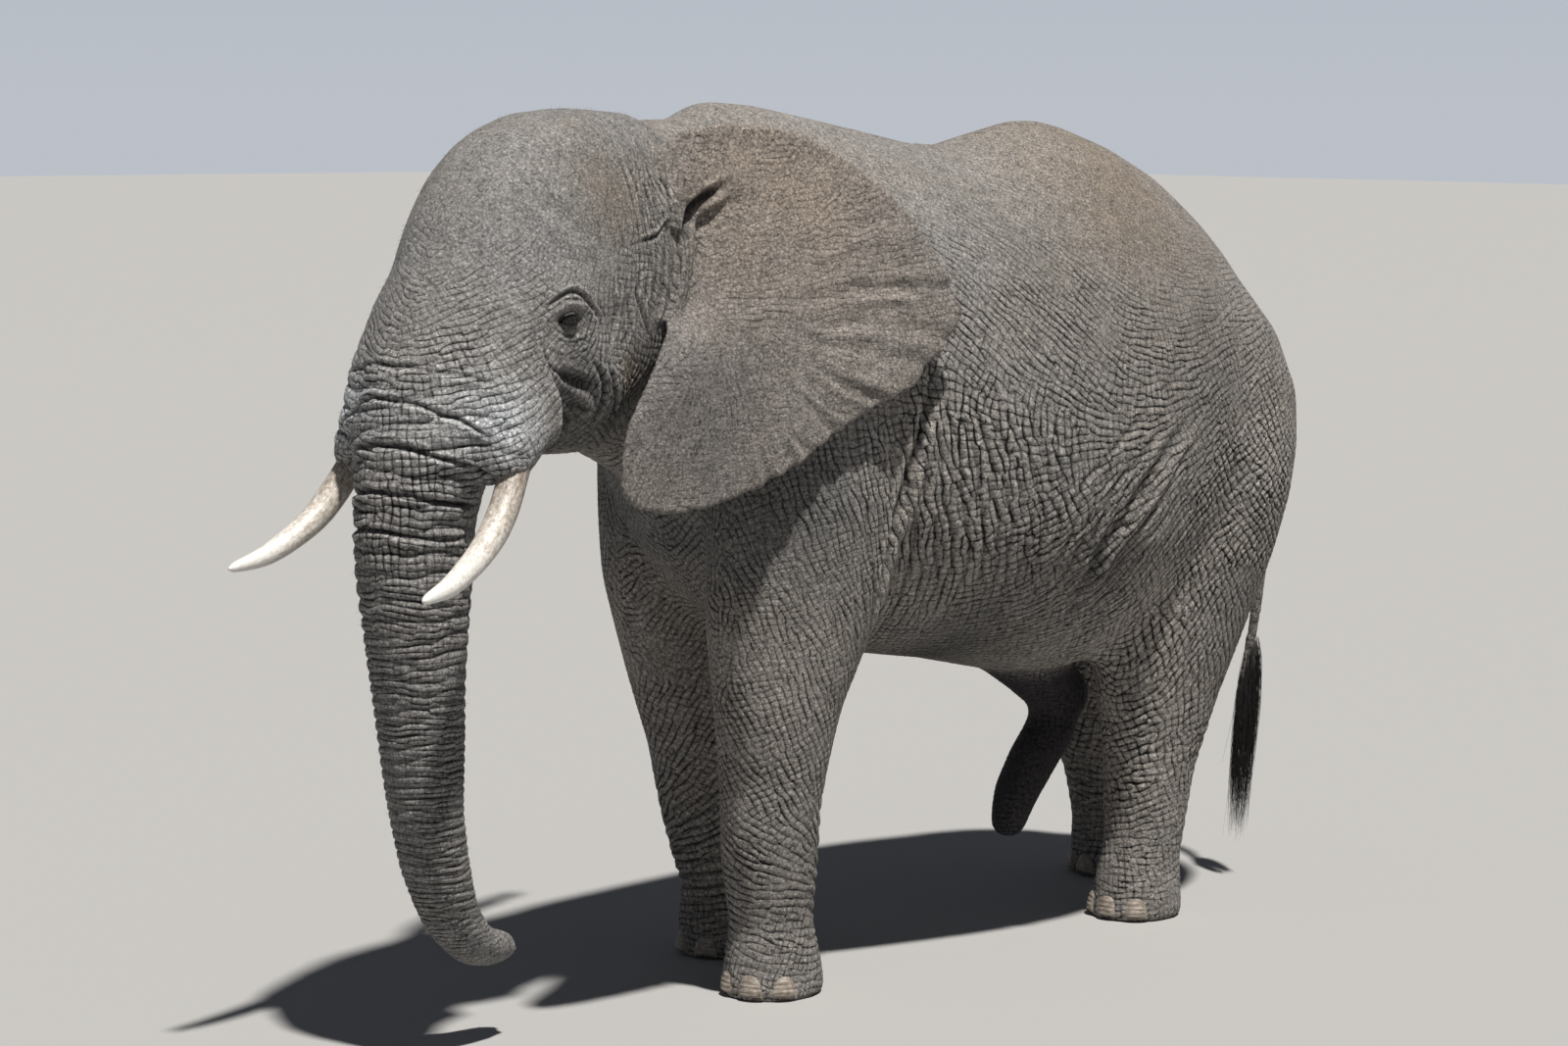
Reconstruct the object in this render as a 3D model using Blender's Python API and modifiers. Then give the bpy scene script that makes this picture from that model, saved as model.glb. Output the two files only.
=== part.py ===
"""A bull African bush elephant, standing, as a still life-size model.

Units are metres, +Z is up, the bull faces -Y and its left side is +X. The flesh is lofted limb by limb, melted
into one surface and then parted with thin cuts, so that its pieces meet face to face. Run it with
    blender --background --python part.py
"""

import math

import bmesh
import bpy
import numpy as np
from mathutils import Matrix, Vector
from mathutils.bvhtree import BVHTree

# Driving dimensions
GAP = 0.0005  # between pieces that touch
SIDES = {"left": 1, "right": -1}  # +X is the bull's left
MELT_VOXEL = 0.024
MELT_SMOOTHING = 8
ORDER_DIGITS = 4  # decimals to which melted points are rounded
FLESH_TRIANGLES = 2450
GROWTH = 0.0008  # by which a piece is let into its neighbour
FLATNESS = math.radians(1.5)  # between faces that may be merged

COLOURS = {
    "skin": (0.20, 0.18, 0.16),
    "ear_skin": (0.23, 0.20, 0.17),
    "ivory": (0.78, 0.72, 0.60),
    "nail": (0.42, 0.38, 0.32),
    "eye": (0.06, 0.035, 0.02),
    "tail_hair": (0.03, 0.03, 0.03),
    "bare_skin": (0.10, 0.065, 0.06),
}
ROUGHNESS = {"skin": 0.85, "ear_skin": 0.85, "ivory": 0.35, "nail": 0.6, "eye": 0.08, "tail_hair": 0.6,
             "bare_skin": 0.5}

# Barrel, from breast to rump: y, back line, belly line, half width, height of the widest point
BARREL = (
    (-1.56, 2.80, 1.92, 0.20, 2.35),
    (-1.47, 2.98, 1.70, 0.34, 2.28),
    (-1.36, 3.16, 1.52, 0.45, 2.20),
    (-1.15, 3.195, 1.33, 0.55, 2.12),
    (-0.65, 3.12, 1.17, 0.66, 2.00),
    (-0.12, 3.035, 1.08, 0.75, 1.90),
    (0.25, 3.105, 1.00, 0.77, 1.88),
    (0.50, 3.125, 0.99, 0.76, 1.90),
    (0.95, 2.98, 1.13, 0.69, 1.95),
    (1.33, 2.72, 1.40, 0.56, 1.95),
    (1.55, 2.42, 1.60, 0.41, 1.95),
    (1.685, 2.15, 1.75, 0.21, 1.95),
)
BACK_ROUNDNESS, BELLY_ROUNDNESS = 1.75, 2.15
# Neck: y, top, bottom, half width, height of the widest point
NECK = (
    (-2.10, 3.09, 2.06, 0.26, 2.45),
    (-1.80, 3.12, 1.96, 0.33, 2.42),
    (-1.50, 3.13, 1.80, 0.41, 2.35),
    (-1.15, 3.14, 1.55, 0.49, 2.20),
)
# Limbs, downwards: z, front edge, back edge, distance of the middle from the body's mid plane, half width
FORELIMB = (
    (2.62, -1.34, -0.82, 0.27, 0.18),
    (2.25, -1.40, -0.64, 0.34, 0.25),
    (1.85, -1.45, -0.62, 0.37, 0.26),
    (1.50, -1.47, -0.68, 0.37, 0.24),
    (1.25, -1.44, -0.78, 0.355, 0.215),
    (1.00, -1.385, -0.895, 0.34, 0.19),
    (0.80, -1.34, -0.93, 0.325, 0.175),
    (0.60, -1.32, -0.945, 0.315, 0.168),
    (0.42, -1.29, -0.93, 0.305, 0.16),
    (0.27, -1.255, -0.94, 0.30, 0.145),
    (0.12, -1.265, -0.90, 0.30, 0.165),
    (0.02, -1.275, -0.885, 0.30, 0.178),
    (-0.06, -1.275, -0.885, 0.30, 0.178),
)
HINDLIMB = (
    (2.62, 0.55, 1.22, 0.26, 0.20),
    (2.25, 0.44, 1.50, 0.34, 0.28),
    (1.85, 0.44, 1.60, 0.37, 0.30),
    (1.50, 0.52, 1.55, 0.375, 0.28),
    (1.20, 0.64, 1.44, 0.365, 0.24),
    (0.92, 0.745, 1.345, 0.35, 0.20),
    (0.72, 0.82, 1.29, 0.335, 0.178),
    (0.56, 0.865, 1.255, 0.325, 0.162),
    (0.37, 0.905, 1.245, 0.315, 0.155),
    (0.24, 0.905, 1.24, 0.31, 0.152),
    (0.12, 0.89, 1.25, 0.31, 0.165),
    (0.02, 0.88, 1.26, 0.31, 0.175),
    (-0.06, 0.88, 1.26, 0.31, 0.175),
)
LIMB_ROUNDNESS = 2.15
# How far back each foot stands from its limb's neutral line, and the height above which a stride moves nothing
STRIDE = {("fore", "left"): -0.10, ("fore", "right"): 0.24, ("hind", "left"): -0.27, ("hind", "right"): 0.32}
STRIDE_HEIGHT = {"fore": 2.6, "hind": 2.05}

# The head is laid out facing straight ahead and then turned to the left about the neck
HEAD_TURN = math.radians(11)
HEAD_PIVOT = Vector((0, -1.45, 2.6))
# Skull, downwards: z, forehead, back of the head, half width
SKULL = (
    (3.165, -2.10, -1.92, 0.09),
    (3.14, -2.24, -1.74, 0.18),
    (3.07, -2.42, -1.62, 0.26),
    (2.95, -2.57, -1.54, 0.315),
    (2.80, -2.67, -1.48, 0.355),
    (2.62, -2.75, -1.46, 0.38),
    (2.45, -2.81, -1.50, 0.38),
    (2.28, -2.83, -1.60, 0.355),
    (2.14, -2.76, -1.75, 0.30),
    (2.06, -2.64, -1.92, 0.21),
)
SKULL_ROUNDNESS = 2.3
# Muzzle, which holds the roots of tusks and trunk, downwards: z, front, back, half width
MUZZLE = (
    (2.56, -2.74, -2.25, 0.34),
    (2.36, -2.84, -2.38, 0.36),
    (2.20, -2.88, -2.48, 0.375),
    (2.08, -2.88, -2.56, 0.38),
    (1.99, -2.83, -2.63, 0.35),
)
# Tubes: x, y, z, half width, half depth
TRUNK = (
    (0, -2.42, 2.70, 0.26, 0.24),
    (0, -2.60, 2.42, 0.275, 0.245),
    (0, -2.73, 2.14, 0.25, 0.235),
    (0, -2.80, 1.86, 0.21, 0.208),
    (0, -2.805, 1.59, 0.193, 0.193),
    (0, -2.795, 1.35, 0.168, 0.168),
    (0, -2.775, 1.09, 0.149, 0.149),
    (0, -2.75, 0.84, 0.130, 0.130),
    (0, -2.695, 0.62, 0.117, 0.115),
    (0, -2.61, 0.45, 0.104, 0.099),
    (0, -2.49, 0.345, 0.090, 0.080),
    (0, -2.36, 0.325, 0.076, 0.058),
)
SOCKET = (
    (0.24, -2.50, 2.36, 0.12, 0.12),
    (0.27, -2.60, 2.20, 0.12, 0.12),
    (0.30, -2.68, 2.08, 0.105, 0.105),
    (0.32, -2.73, 2.01, 0.090, 0.090),
)
CHEEK = ((0.27, -2.34, 2.44, 0.12, 0.12), (0.26, -2.24, 2.26, 0.14, 0.14), (0.20, -2.18, 2.13, 0.12, 0.12))
BROW = ((0.26, -2.58, 2.56, 0.045, 0.045), (0.325, -2.46, 2.58, 0.045, 0.045), (0.345, -2.31, 2.56, 0.04, 0.04))
JAW = (
    (0, -1.85, 2.12, 0.20, 0.13),
    (0, -2.05, 2.11, 0.20, 0.125),
    (0, -2.26, 2.10, 0.16, 0.105),
    (0, -2.42, 2.09, 0.09, 0.07),
)
TUSK = (
    (0.34, -2.70, 2.00, 0.048, 0.048),
    (0.36, -2.79, 1.87, 0.050, 0.050),
    (0.375, -2.90, 1.765, 0.046, 0.046),
    (0.392, -3.07, 1.672, 0.036, 0.036),
    (0.408, -3.22, 1.636, 0.015, 0.015),
)
TAIL = (
    (0.0, 1.52, 2.32, 0.075, 0.075),
    (0.02, 1.70, 2.14, 0.060, 0.060),
    (0.06, 1.79, 1.92, 0.047, 0.047),
    (0.10, 1.82, 1.65, 0.038, 0.038),
    (0.12, 1.80, 1.38, 0.030, 0.030),
    (0.12, 1.75, 1.06, 0.024, 0.024),
    (0.11, 1.70, 0.82, 0.020, 0.020),
)
TUFT = (
    (0.11, 1.695, 0.79, 0.022, 0.026),
    (0.105, 1.665, 0.68, 0.030, 0.050),
    (0.10, 1.64, 0.50, 0.030, 0.055),
    (0.10, 1.64, 0.30, 0.022, 0.035),
    (0.10, 1.665, 0.14, 0.008, 0.010),
)
SHEATH = (
    (0.0, 0.30, 1.08, 0.10, 0.10),
    (0.0, 0.48, 1.00, 0.12, 0.12),
    (0.0, 0.60, 0.93, 0.13, 0.13),
    (0.0, 0.68, 0.86, 0.122, 0.122),
)
ORGAN = (
    (0.0, 0.68, 0.85, 0.10, 0.10),
    (0.0, 0.63, 0.72, 0.10, 0.10),
    (0.0, 0.52, 0.60, 0.096, 0.096),
    (0.0, 0.43, 0.48, 0.088, 0.088),
    (0.0, 0.395, 0.385, 0.072, 0.072),
)

# Left ear outline as y, z and distance from the head's mid plane, backwards along the top from the root
EAR = (
    (-1.93, 2.98, 0.22), (-1.82, 3.08, 0.30), (-1.62, 3.12, 0.38), (-1.40, 3.10, 0.45), (-1.23, 3.04, 0.54),
    (-1.06, 2.91, 0.66), (-0.95, 2.76, 0.77), (-0.86, 2.54, 0.87), (-0.845, 2.42, 0.90), (-0.96, 2.32, 0.87),
    (-1.06, 2.20, 0.83), (-1.26, 2.12, 0.76), (-1.41, 2.03, 0.71), (-1.60, 1.92, 0.65), (-1.85, 1.84, 0.58),
    (-2.10, 1.81, 0.51), (-2.26, 1.86, 0.46), (-2.28, 1.95, 0.45), (-2.25, 2.10, 0.45), (-2.16, 2.28, 0.44),
    (-2.05, 2.42, 0.40), (-1.99, 2.55, 0.31), (-1.97, 2.75, 0.29),
)
EAR_MIDDLE = (-1.58, 2.50, 0.56)
EAR_ROOT = ((-1.92, 2.99), (-2.00, 2.52))  # the line along which it grows from the head: y, z of both ends
EAR_THICKNESS = 0.020
EAR_LIFT = 0.05  # clearance from neck and shoulder
EAR_HOLD = (0.07, 0.30)  # distances from the root where it leaves the head, and where it has that clearance
EAR_SMOOTHING = 12
EAR_STEPS = 3  # rows of faces from the middle to the rim
EAR_POINTS = 32  # points round the rim
EYE = (-2.44, 2.465)  # y, z
EYE_RADIUS = 0.030
EYE_DEPTH = 0.014  # of its middle under the skin

# The right tusk hangs less than the left: how much its tip is raised
TUSK_LIFT = {"left": 0.0, "right": 0.04}

NAIL_HEIGHT = 0.055
NAIL_SIZE = (0.042, 0.016, 0.038)  # half width, half thickness, half height
NAIL_LEAN = -14
NAIL_ANGLES = {"fore": (-60, -20, 20, 60), "hind": (-42, 0, 42)}
NAIL_RAY = 0.3  # from the middle of the foot out to where the search for its surface starts

# Thin cuts: slope from level, half width and half height; those of the head also have their middle
NECK_SLIT = (78, 0.85, 0.95)
HEAD_SLITS = (
    ((0, -1.80, 2.55), 83, 0.60, 0.75),
    ((0, -2.70, 2.20), -32, 0.60, 0.48),
    ((0, -2.80, 1.82), 2, 0.26, 0.36),
    ((0, -2.77, 1.20), 0, 0.26, 0.36),
    ((0, -2.72, 0.70), 14, 0.22, 0.30),
)
LIMB_SLITS = {"fore": (1.12, 0.50), "hind": (0.90, 0.46)}
# About where the middle of each piece of flesh lies
PLACES = {
    "torso": (0, 0, 2.1),
    "neck": (0.05, -1.65, 2.5),
    "head": (0.2, -2.2, 2.6),
    "trunk_root": (0.25, -2.65, 2.1),
    "trunk_upper": (0.25, -2.8, 1.5),
    "trunk_middle": (0.25, -2.75, 0.95),
    "trunk_tip": (0.22, -2.5, 0.45),
    "foreleg_left": (0.32, -1.18, 0.8),
    "foreleg_right": (-0.32, -1.0, 0.8),
    "forefoot_left": (0.3, -1.18, 0.2),
    "forefoot_right": (-0.3, -0.87, 0.2),
    "hindleg_left": (0.33, 0.9, 0.7),
    "hindleg_right": (-0.33, 1.25, 0.7),
    "hindfoot_left": (0.31, 0.8, 0.2),
    "hindfoot_right": (-0.31, 1.36, 0.2),
}


def smooth_rows(rows, steps):
    """Rows of numbers, filled in along a smooth curve through all of them."""
    rows = np.array(rows, dtype=float)
    padded = np.vstack((2 * rows[0] - rows[1], rows, 2 * rows[-1] - rows[-2]))
    filled = []
    for a, b, c, d in zip(padded, padded[1:], padded[2:], padded[3:]):
        for step in range(steps):
            t = step / steps
            filled.append(0.5 * (2 * b + (c - a) * t + (2 * a - 5 * b + 4 * c - d) * t * t
                                 + (3 * b - a - 3 * c + d) * t ** 3))
    filled.append(rows[-1])
    return filled


def superellipse(angle, roundness):
    """A point on a unit curve that is a circle at roundness 2 and squarer above it."""
    x, y = math.cos(angle), math.sin(angle)
    return (math.copysign(abs(x) ** (2 / roundness), x), math.copysign(abs(y) ** (2 / roundness), y))


def new_object(name, mesh, collection, slot=None):
    """An object for a mesh, in a collection, with one of the materials."""
    obj = bpy.data.objects.new(name, mesh)
    collection.objects.link(obj)
    if slot:
        obj.data.materials.append(material(slot))
    return obj


def material(slot):
    """The plain material of a slot, made once."""
    found = bpy.data.materials.get(slot)
    if found:
        return found
    made = bpy.data.materials.new(slot)
    made.use_nodes = True
    shader = made.node_tree.nodes["Principled BSDF"]
    shader.inputs["Base Color"].default_value = (*COLOURS[slot], 1)
    shader.inputs["Roughness"].default_value = ROUGHNESS[slot]
    shader.inputs["Metallic"].default_value = 0
    return made


def loft(rings, name="loft"):
    """A closed mesh through rings of points, all with the same number of points."""
    bm = bmesh.new()
    loops = [[bm.verts.new(point) for point in ring] for ring in rings]
    count = len(loops[0])
    for lower, upper in zip(loops, loops[1:]):
        for i in range(count):
            j = (i + 1) % count
            bm.faces.new((lower[i], lower[j], upper[j], upper[i]))
    for ring in (loops[0], loops[-1]):
        hub = bm.verts.new(sum((v.co for v in ring), Vector()) / count)
        for i in range(count):
            bm.faces.new((ring[i], ring[(i + 1) % count], hub))
    bmesh.ops.recalc_face_normals(bm, faces=bm.faces)
    if bm.calc_volume(signed=True) < 0:
        bmesh.ops.reverse_faces(bm, faces=bm.faces)
    bmesh.ops.triangulate(bm, faces=bm.faces)
    mesh = bpy.data.meshes.new(name)
    bm.to_mesh(mesh)
    bm.free()
    return mesh


def across_loft(rows, roundness_above, roundness_below, sides=40, steps=4):
    """A loft along Y from rows of y, top, bottom, half width and height of the widest point."""
    rings = []
    for y, top, bottom, width, middle in smooth_rows(rows, steps):
        ring = []
        for i in range(sides):
            angle = 2 * math.pi * i / sides
            above = math.sin(angle) >= 0
            x, z = superellipse(angle, roundness_above if above else roundness_below)
            ring.append(Vector((width * x, y, middle + z * (top - middle if above else middle - bottom))))
        rings.append(ring)
    return loft(rings)


def upright_loft(rows, roundness, shift=None, sides=32, steps=4):
    """A loft along Z from rows of z, front, back, distance from the mid plane and half width."""
    rings = []
    for z, front, back, out, width in smooth_rows(rows, steps):
        slide = shift(z) if shift else 0
        ring = []
        for i in range(sides):
            x, y = superellipse(2 * math.pi * i / sides, roundness)
            ring.append(Vector((out + width * x, (front + back) / 2 + slide + y * (back - front) / 2, z)))
        rings.append(ring)
    return loft(rings)


def tube(rows, sides=24, steps=4, cap_rings=3):
    """A tube with round ends along rows of x, y, z, half width and half depth."""
    rows = smooth_rows(rows, steps)
    points = [Vector(row[:3]) for row in rows]
    rings = []
    for index, row in enumerate(rows):
        along = (points[min(index + 1, len(rows) - 1)] - points[max(index - 1, 0)]).normalized()
        side = Vector((1, 0, 0)) - along * along.x
        side.normalize()
        rings.append((points[index], along, side, along.cross(side), row[3], row[4]))
    ends = []
    for end, sign in ((rings[0], -1), (rings[-1], 1)):
        centre, along, side, up, width, depth = end
        cap = []
        for step in range(1, cap_rings + 1):
            angle = 0.48 * math.pi * step / cap_rings
            reach = 0.5 * (width + depth) * math.sin(angle)
            shrink = math.cos(angle)
            cap.append((centre + along * sign * reach, along, side, up, width * shrink, depth * shrink))
        ends.append(cap)
    rings = ends[0][::-1] + rings + ends[1]
    return loft([[centre + side * width * math.cos(2 * math.pi * i / sides)
                  + up * depth * math.sin(2 * math.pi * i / sides) for i in range(sides)]
                 for centre, along, side, up, width, depth in rings])


def mirrored(rows, side):
    """Rows that start with x, on the left side (1) or the right (-1)."""
    return [(row[0] * side, *row[1:]) for row in rows]


def tusk_rows(side_name):
    """The rows of one tusk, raised towards the tip where it hangs less."""
    rise = TUSK_LIFT[side_name]
    root, tip = TUSK[0][1], TUSK[-1][1]
    return [(x * SIDES[side_name], y, z + rise * (y - root) / (tip - root), width, depth)
            for x, y, z, width, depth in TUSK]


def evaluated_mesh(obj):
    """The mesh of an object as its modifiers leave it."""
    graph = bpy.context.evaluated_depsgraph_get()
    return bpy.data.meshes.new_from_object(obj.evaluated_get(graph))


def apply_modifiers(obj):
    """Bake an object's modifiers into its mesh."""
    mesh = evaluated_mesh(obj)
    obj.modifiers.clear()
    obj.data = mesh


def joined(meshes, name, collection):
    """One object from many meshes, whose bodies may still pass through each other."""
    bm = bmesh.new()
    for mesh in meshes:
        bm.from_mesh(mesh)
    mesh = bpy.data.meshes.new(name)
    bm.to_mesh(mesh)
    bm.free()
    return new_object(name, mesh, collection)


def boolean(obj, cutter, operation):
    """Join a mesh to an object, or take it away."""
    modifier = obj.modifiers.new(operation, "BOOLEAN")
    modifier.operation = operation
    modifier.object = cutter
    modifier.solver = "EXACT"
    apply_modifiers(obj)


def cutter_object(name, mesh, collection):
    """A cutter, which is drawn as wire and left out of the model."""
    obj = new_object(name, mesh, collection)
    obj.hide_render = True
    obj.display_type = "WIRE"
    return obj


def head_matrix():
    """The turn of the head to the left about the neck."""
    return Matrix.Translation(HEAD_PIVOT) @ Matrix.Rotation(HEAD_TURN, 4, "Z") @ Matrix.Translation(-HEAD_PIVOT)


def in_order(mesh):
    """The same mesh with its points and faces numbered by where they lie, so that every run cuts it alike."""
    points = np.round([vert.co for vert in mesh.vertices], ORDER_DIGITS)
    order = np.lexsort(points.T)
    rank = np.empty(len(order), dtype=int)
    rank[order] = np.arange(len(order))
    faces = []
    for polygon in mesh.polygons:
        face = [int(rank[index]) for index in polygon.vertices]
        first = face.index(min(face))
        faces.append(tuple(face[first:] + face[:first]))
    made = bpy.data.meshes.new(mesh.name)
    made.from_pydata(points[order].tolist(), [], sorted(faces))
    made.update()
    return made


def smooth_points(mesh, rounds):
    """Move every point halfway to the mean of its neighbours, so many times over."""
    points = np.array([vert.co for vert in mesh.vertices], dtype=float)
    starts, ends = np.array(sorted(tuple(sorted(edge.vertices)) for edge in mesh.edges)).T
    neighbours = np.bincount(np.concatenate((starts, ends)), minlength=len(points))[:, None]
    for _ in range(rounds):
        total = np.zeros_like(points)
        np.add.at(total, starts, points[ends])
        np.add.at(total, ends, points[starts])
        points = (points + total / neighbours) / 2
    mesh.vertices.foreach_set("co", points.ravel())


def melt(meshes, name, collection):
    """Overlapping lofts melted into one smooth skin."""
    flesh = joined(meshes, name, collection)
    remesh = flesh.modifiers.new("melt", "REMESH")
    remesh.mode = "VOXEL"
    remesh.voxel_size = MELT_VOXEL
    apply_modifiers(flesh)
    flesh.data = in_order(flesh.data)
    smooth_points(flesh.data, MELT_SMOOTHING)
    return flesh


def limb_meshes():
    """The four limbs, each with its own stride."""
    meshes = []
    for kind, rows in (("fore", FORELIMB), ("hind", HINDLIMB)):
        for side_name, side in SIDES.items():
            stride = STRIDE[kind, side_name]
            top = STRIDE_HEIGHT[kind]

            def slide(z):
                return stride * min(1, max(0, 1 - z / top)) ** 0.9

            sided = [(z, front, back, out * side, width) for z, front, back, out, width in rows]
            meshes.append(upright_loft(sided, LIMB_ROUNDNESS, slide))
    return meshes


def head_meshes():
    """Skull, brows, cheeks, tusk sockets, jaw and trunk, turned with the head."""
    meshes = [upright_loft([(z, front, back, 0, width) for z, front, back, width in rows], SKULL_ROUNDNESS)
              for rows in (SKULL, MUZZLE)]
    meshes += [tube(TRUNK), tube(JAW)]
    for side in SIDES.values():
        meshes += [tube(mirrored(rows, side)) for rows in (SOCKET, CHEEK, BROW)]
    for mesh in meshes:
        mesh.transform(head_matrix())
    return meshes


def grown(mesh, distance=GROWTH):
    """A copy of a closed mesh that stands a little proud all over, to cut its neighbours with."""
    bm = bmesh.new()
    bm.from_mesh(mesh)
    bm.normal_update()
    for vert, normal in [(v, v.normal.copy()) for v in bm.verts]:
        vert.co += normal * distance
    made = bpy.data.meshes.new(mesh.name + "_cutter")
    bm.to_mesh(made)
    bm.free()
    return made


def flesh_tree(obj):
    """A search tree of an object's surface."""
    bm = bmesh.new()
    bm.from_mesh(obj.data)
    tree = BVHTree.FromBMesh(bm)
    bm.free()
    return tree


def skin_point(tree, y, z, side):
    """Where a line from the side, through y and z of the head, meets the flesh; both points are of the head."""
    matrix = head_matrix()
    origin = matrix @ Vector((2 * side, y, z))
    hit = tree.ray_cast(origin, matrix.to_3x3() @ Vector((-side, 0, 0)))[0]
    return matrix.inverted() @ hit if hit else None


def blend_step(low, high, value):
    """0 below low, 1 above high, and a smooth step between."""
    t = min(1, max(0, (value - low) / (high - low)))
    return t * t * (3 - 2 * t)


def distance_to_root(y, z):
    """Distance from the line along which the ear grows from the head."""
    start, end = (Vector(point) for point in EAR_ROOT)
    along = end - start
    t = (Vector((y, z)) - start).dot(along) / along.length_squared
    return (Vector((y, z)) - start - along * min(1, max(0, t))).length


def ear_mesh(tree, side):
    """One ear, draped over neck and shoulder as a thin closed sheet."""
    rim = smooth_rows(EAR + EAR[:1], 4)[:-1]
    rim = [rim[int(i * len(rim) / EAR_POINTS)] for i in range(EAR_POINTS)]
    middle = np.array(EAR_MIDDLE)
    rows = [[middle + (point - middle) * (step / EAR_STEPS) ** 0.8 for point in rim]
            for step in range(1, EAR_STEPS + 1)]
    rows.insert(0, [middle])

    def placed(point):
        y, z, out = point
        return Vector((out - (1 - side) * math.sin(HEAD_TURN) * max(0, y - HEAD_PIVOT.y), y, z))

    bm = bmesh.new()
    verts = [[bm.verts.new(placed(point)) for point in row] for row in rows]
    for i in range(EAR_POINTS):
        j = (i + 1) % EAR_POINTS
        bm.faces.new((verts[0][0], verts[1][i], verts[1][j]))
        for inner, outer in zip(verts[1:], verts[2:]):
            bm.faces.new((inner[i], outer[i], outer[j], inner[j]))
    inside = [vert for row in verts[:-1] for vert in row]
    for _ in range(EAR_SMOOTHING):
        for vert in bm.verts:
            reach = distance_to_root(vert.co.y, vert.co.z)
            hit = skin_point(tree, vert.co.y, vert.co.z, side)
            if hit and reach > EAR_HOLD[0]:
                vert.co.x = max(vert.co.x, side * hit.x + EAR_LIFT * blend_step(*EAR_HOLD, reach))
        bmesh.ops.smooth_vert(bm, verts=inside, factor=0.5, use_axis_x=True, use_axis_y=False, use_axis_z=False)
    for vert in bm.verts:
        vert.co.x *= side
    bmesh.ops.recalc_face_normals(bm, faces=bm.faces)
    mesh = bpy.data.meshes.new("ear")
    bm.to_mesh(mesh)
    bm.free()
    sheet = bpy.data.objects.new("ear_sheet", mesh)
    bpy.context.scene.collection.objects.link(sheet)
    solidify = sheet.modifiers.new("thickness", "SOLIDIFY")
    solidify.thickness = EAR_THICKNESS
    solidify.offset = 0
    made = evaluated_mesh(sheet)
    bpy.data.objects.remove(sheet)
    made.transform(head_matrix())
    return outward(made)


def outward(mesh):
    """The same closed mesh in triangles that point out."""
    bm = bmesh.new()
    bm.from_mesh(mesh)
    bmesh.ops.recalc_face_normals(bm, faces=bm.faces)
    if bm.calc_volume(signed=True) < 0:
        bmesh.ops.reverse_faces(bm, faces=bm.faces)
    bmesh.ops.triangulate(bm, faces=bm.faces)
    bm.to_mesh(mesh)
    bm.free()
    return mesh


def ball_mesh(radii, matrix, segments=10, rings=6):
    """An ellipsoid from its radii and place."""
    bm = bmesh.new()
    bmesh.ops.create_uvsphere(bm, u_segments=segments, v_segments=rings, radius=1,
                              matrix=matrix @ Matrix.Diagonal((*radii, 1)))
    mesh = bpy.data.meshes.new("ball")
    bm.to_mesh(mesh)
    bm.free()
    return mesh


def eye_mesh(tree, side):
    """One eyeball, mostly under the skin."""
    skin = skin_point(tree, *EYE, side)
    centre = skin - Vector((side * EYE_DEPTH, 0, 0))
    return ball_mesh((EYE_RADIUS,) * 3, head_matrix() @ Matrix.Translation(centre))


def nail_meshes(tree, kind, side_name):
    """The toenails of one foot, as flat ovals set into its front."""
    rows = FORELIMB if kind == "fore" else HINDLIMB
    front, back, out = rows[-1][1:4]
    centre = Vector((out * SIDES[side_name], (front + back) / 2 + STRIDE[kind, side_name], NAIL_HEIGHT))
    meshes = []
    for angle in NAIL_ANGLES[kind]:
        turn = math.radians(angle)
        outward_way = Vector((math.sin(turn), -math.cos(turn), 0))
        hit = tree.ray_cast(centre + outward_way * NAIL_RAY, -outward_way)[0]
        place = Matrix.Translation(hit - outward_way * NAIL_SIZE[1] * 0.35)
        lean = Matrix.Rotation(math.radians(NAIL_LEAN), 4, "X")
        meshes.append(ball_mesh(NAIL_SIZE, place @ Matrix.Rotation(turn, 4, "Z") @ lean, 6, 4))
    return meshes


def cut(obj, mesh, cutters):
    """Take a mesh away from an object."""
    cutter = cutter_object(obj.name + "_cutter", mesh, cutters)
    boolean(obj, cutter, "DIFFERENCE")
    bpy.data.objects.remove(cutter)


def slit_mesh(centre, slope, half_width, half_height):
    """A thin plate across X that leans by a slope, in degrees, from level towards the front."""
    bm = bmesh.new()
    place = Matrix.Translation(centre) @ Matrix.Rotation(math.radians(slope), 4, "X")
    size = Matrix.Diagonal((2 * half_width, 2 * half_height, GAP, 1))
    bmesh.ops.create_cube(bm, size=1, matrix=place @ size)
    mesh = bpy.data.meshes.new("slit")
    bm.to_mesh(mesh)
    bm.free()
    return mesh


def boxes_meet(first, second):
    """Whether the boxes round two objects overlap."""
    corners = [np.array([vert.co for vert in obj.data.vertices]) for obj in (first, second)]
    low = np.maximum(corners[0].min(axis=0), corners[1].min(axis=0))
    high = np.minimum(corners[0].max(axis=0), corners[1].max(axis=0))
    return bool((low < high).all())


def islands(bm):
    """The loose parts of a mesh, as sets of points."""
    found = []
    seen = set()
    for start in bm.verts:
        if start in seen:
            continue
        island, front = {start}, [start]
        while front:
            for edge in front.pop().link_edges:
                for vert in edge.verts:
                    if vert not in island:
                        island.add(vert)
                        front.append(vert)
        seen |= island
        found.append(island)
    return found


def only_island(bm, index):
    """A mesh of just one loose part of another, by its place in islands()."""
    copy = bm.copy()
    kept = islands(copy)[index]
    bmesh.ops.delete(copy, geom=[vert for vert in copy.verts if vert not in kept], context="VERTS")
    mesh = bpy.data.meshes.new("piece")
    copy.to_mesh(mesh)
    copy.free()
    return mesh


def tidy(obj):
    """Merge the slivers that a cut leaves in flat places, and split what is left into triangles."""
    bm = bmesh.new()
    bm.from_mesh(obj.data)
    bmesh.ops.dissolve_limit(bm, angle_limit=FLATNESS, verts=bm.verts, edges=bm.edges)
    bmesh.ops.triangulate(bm, faces=bm.faces)
    bm.to_mesh(obj.data)
    bm.free()


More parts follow.
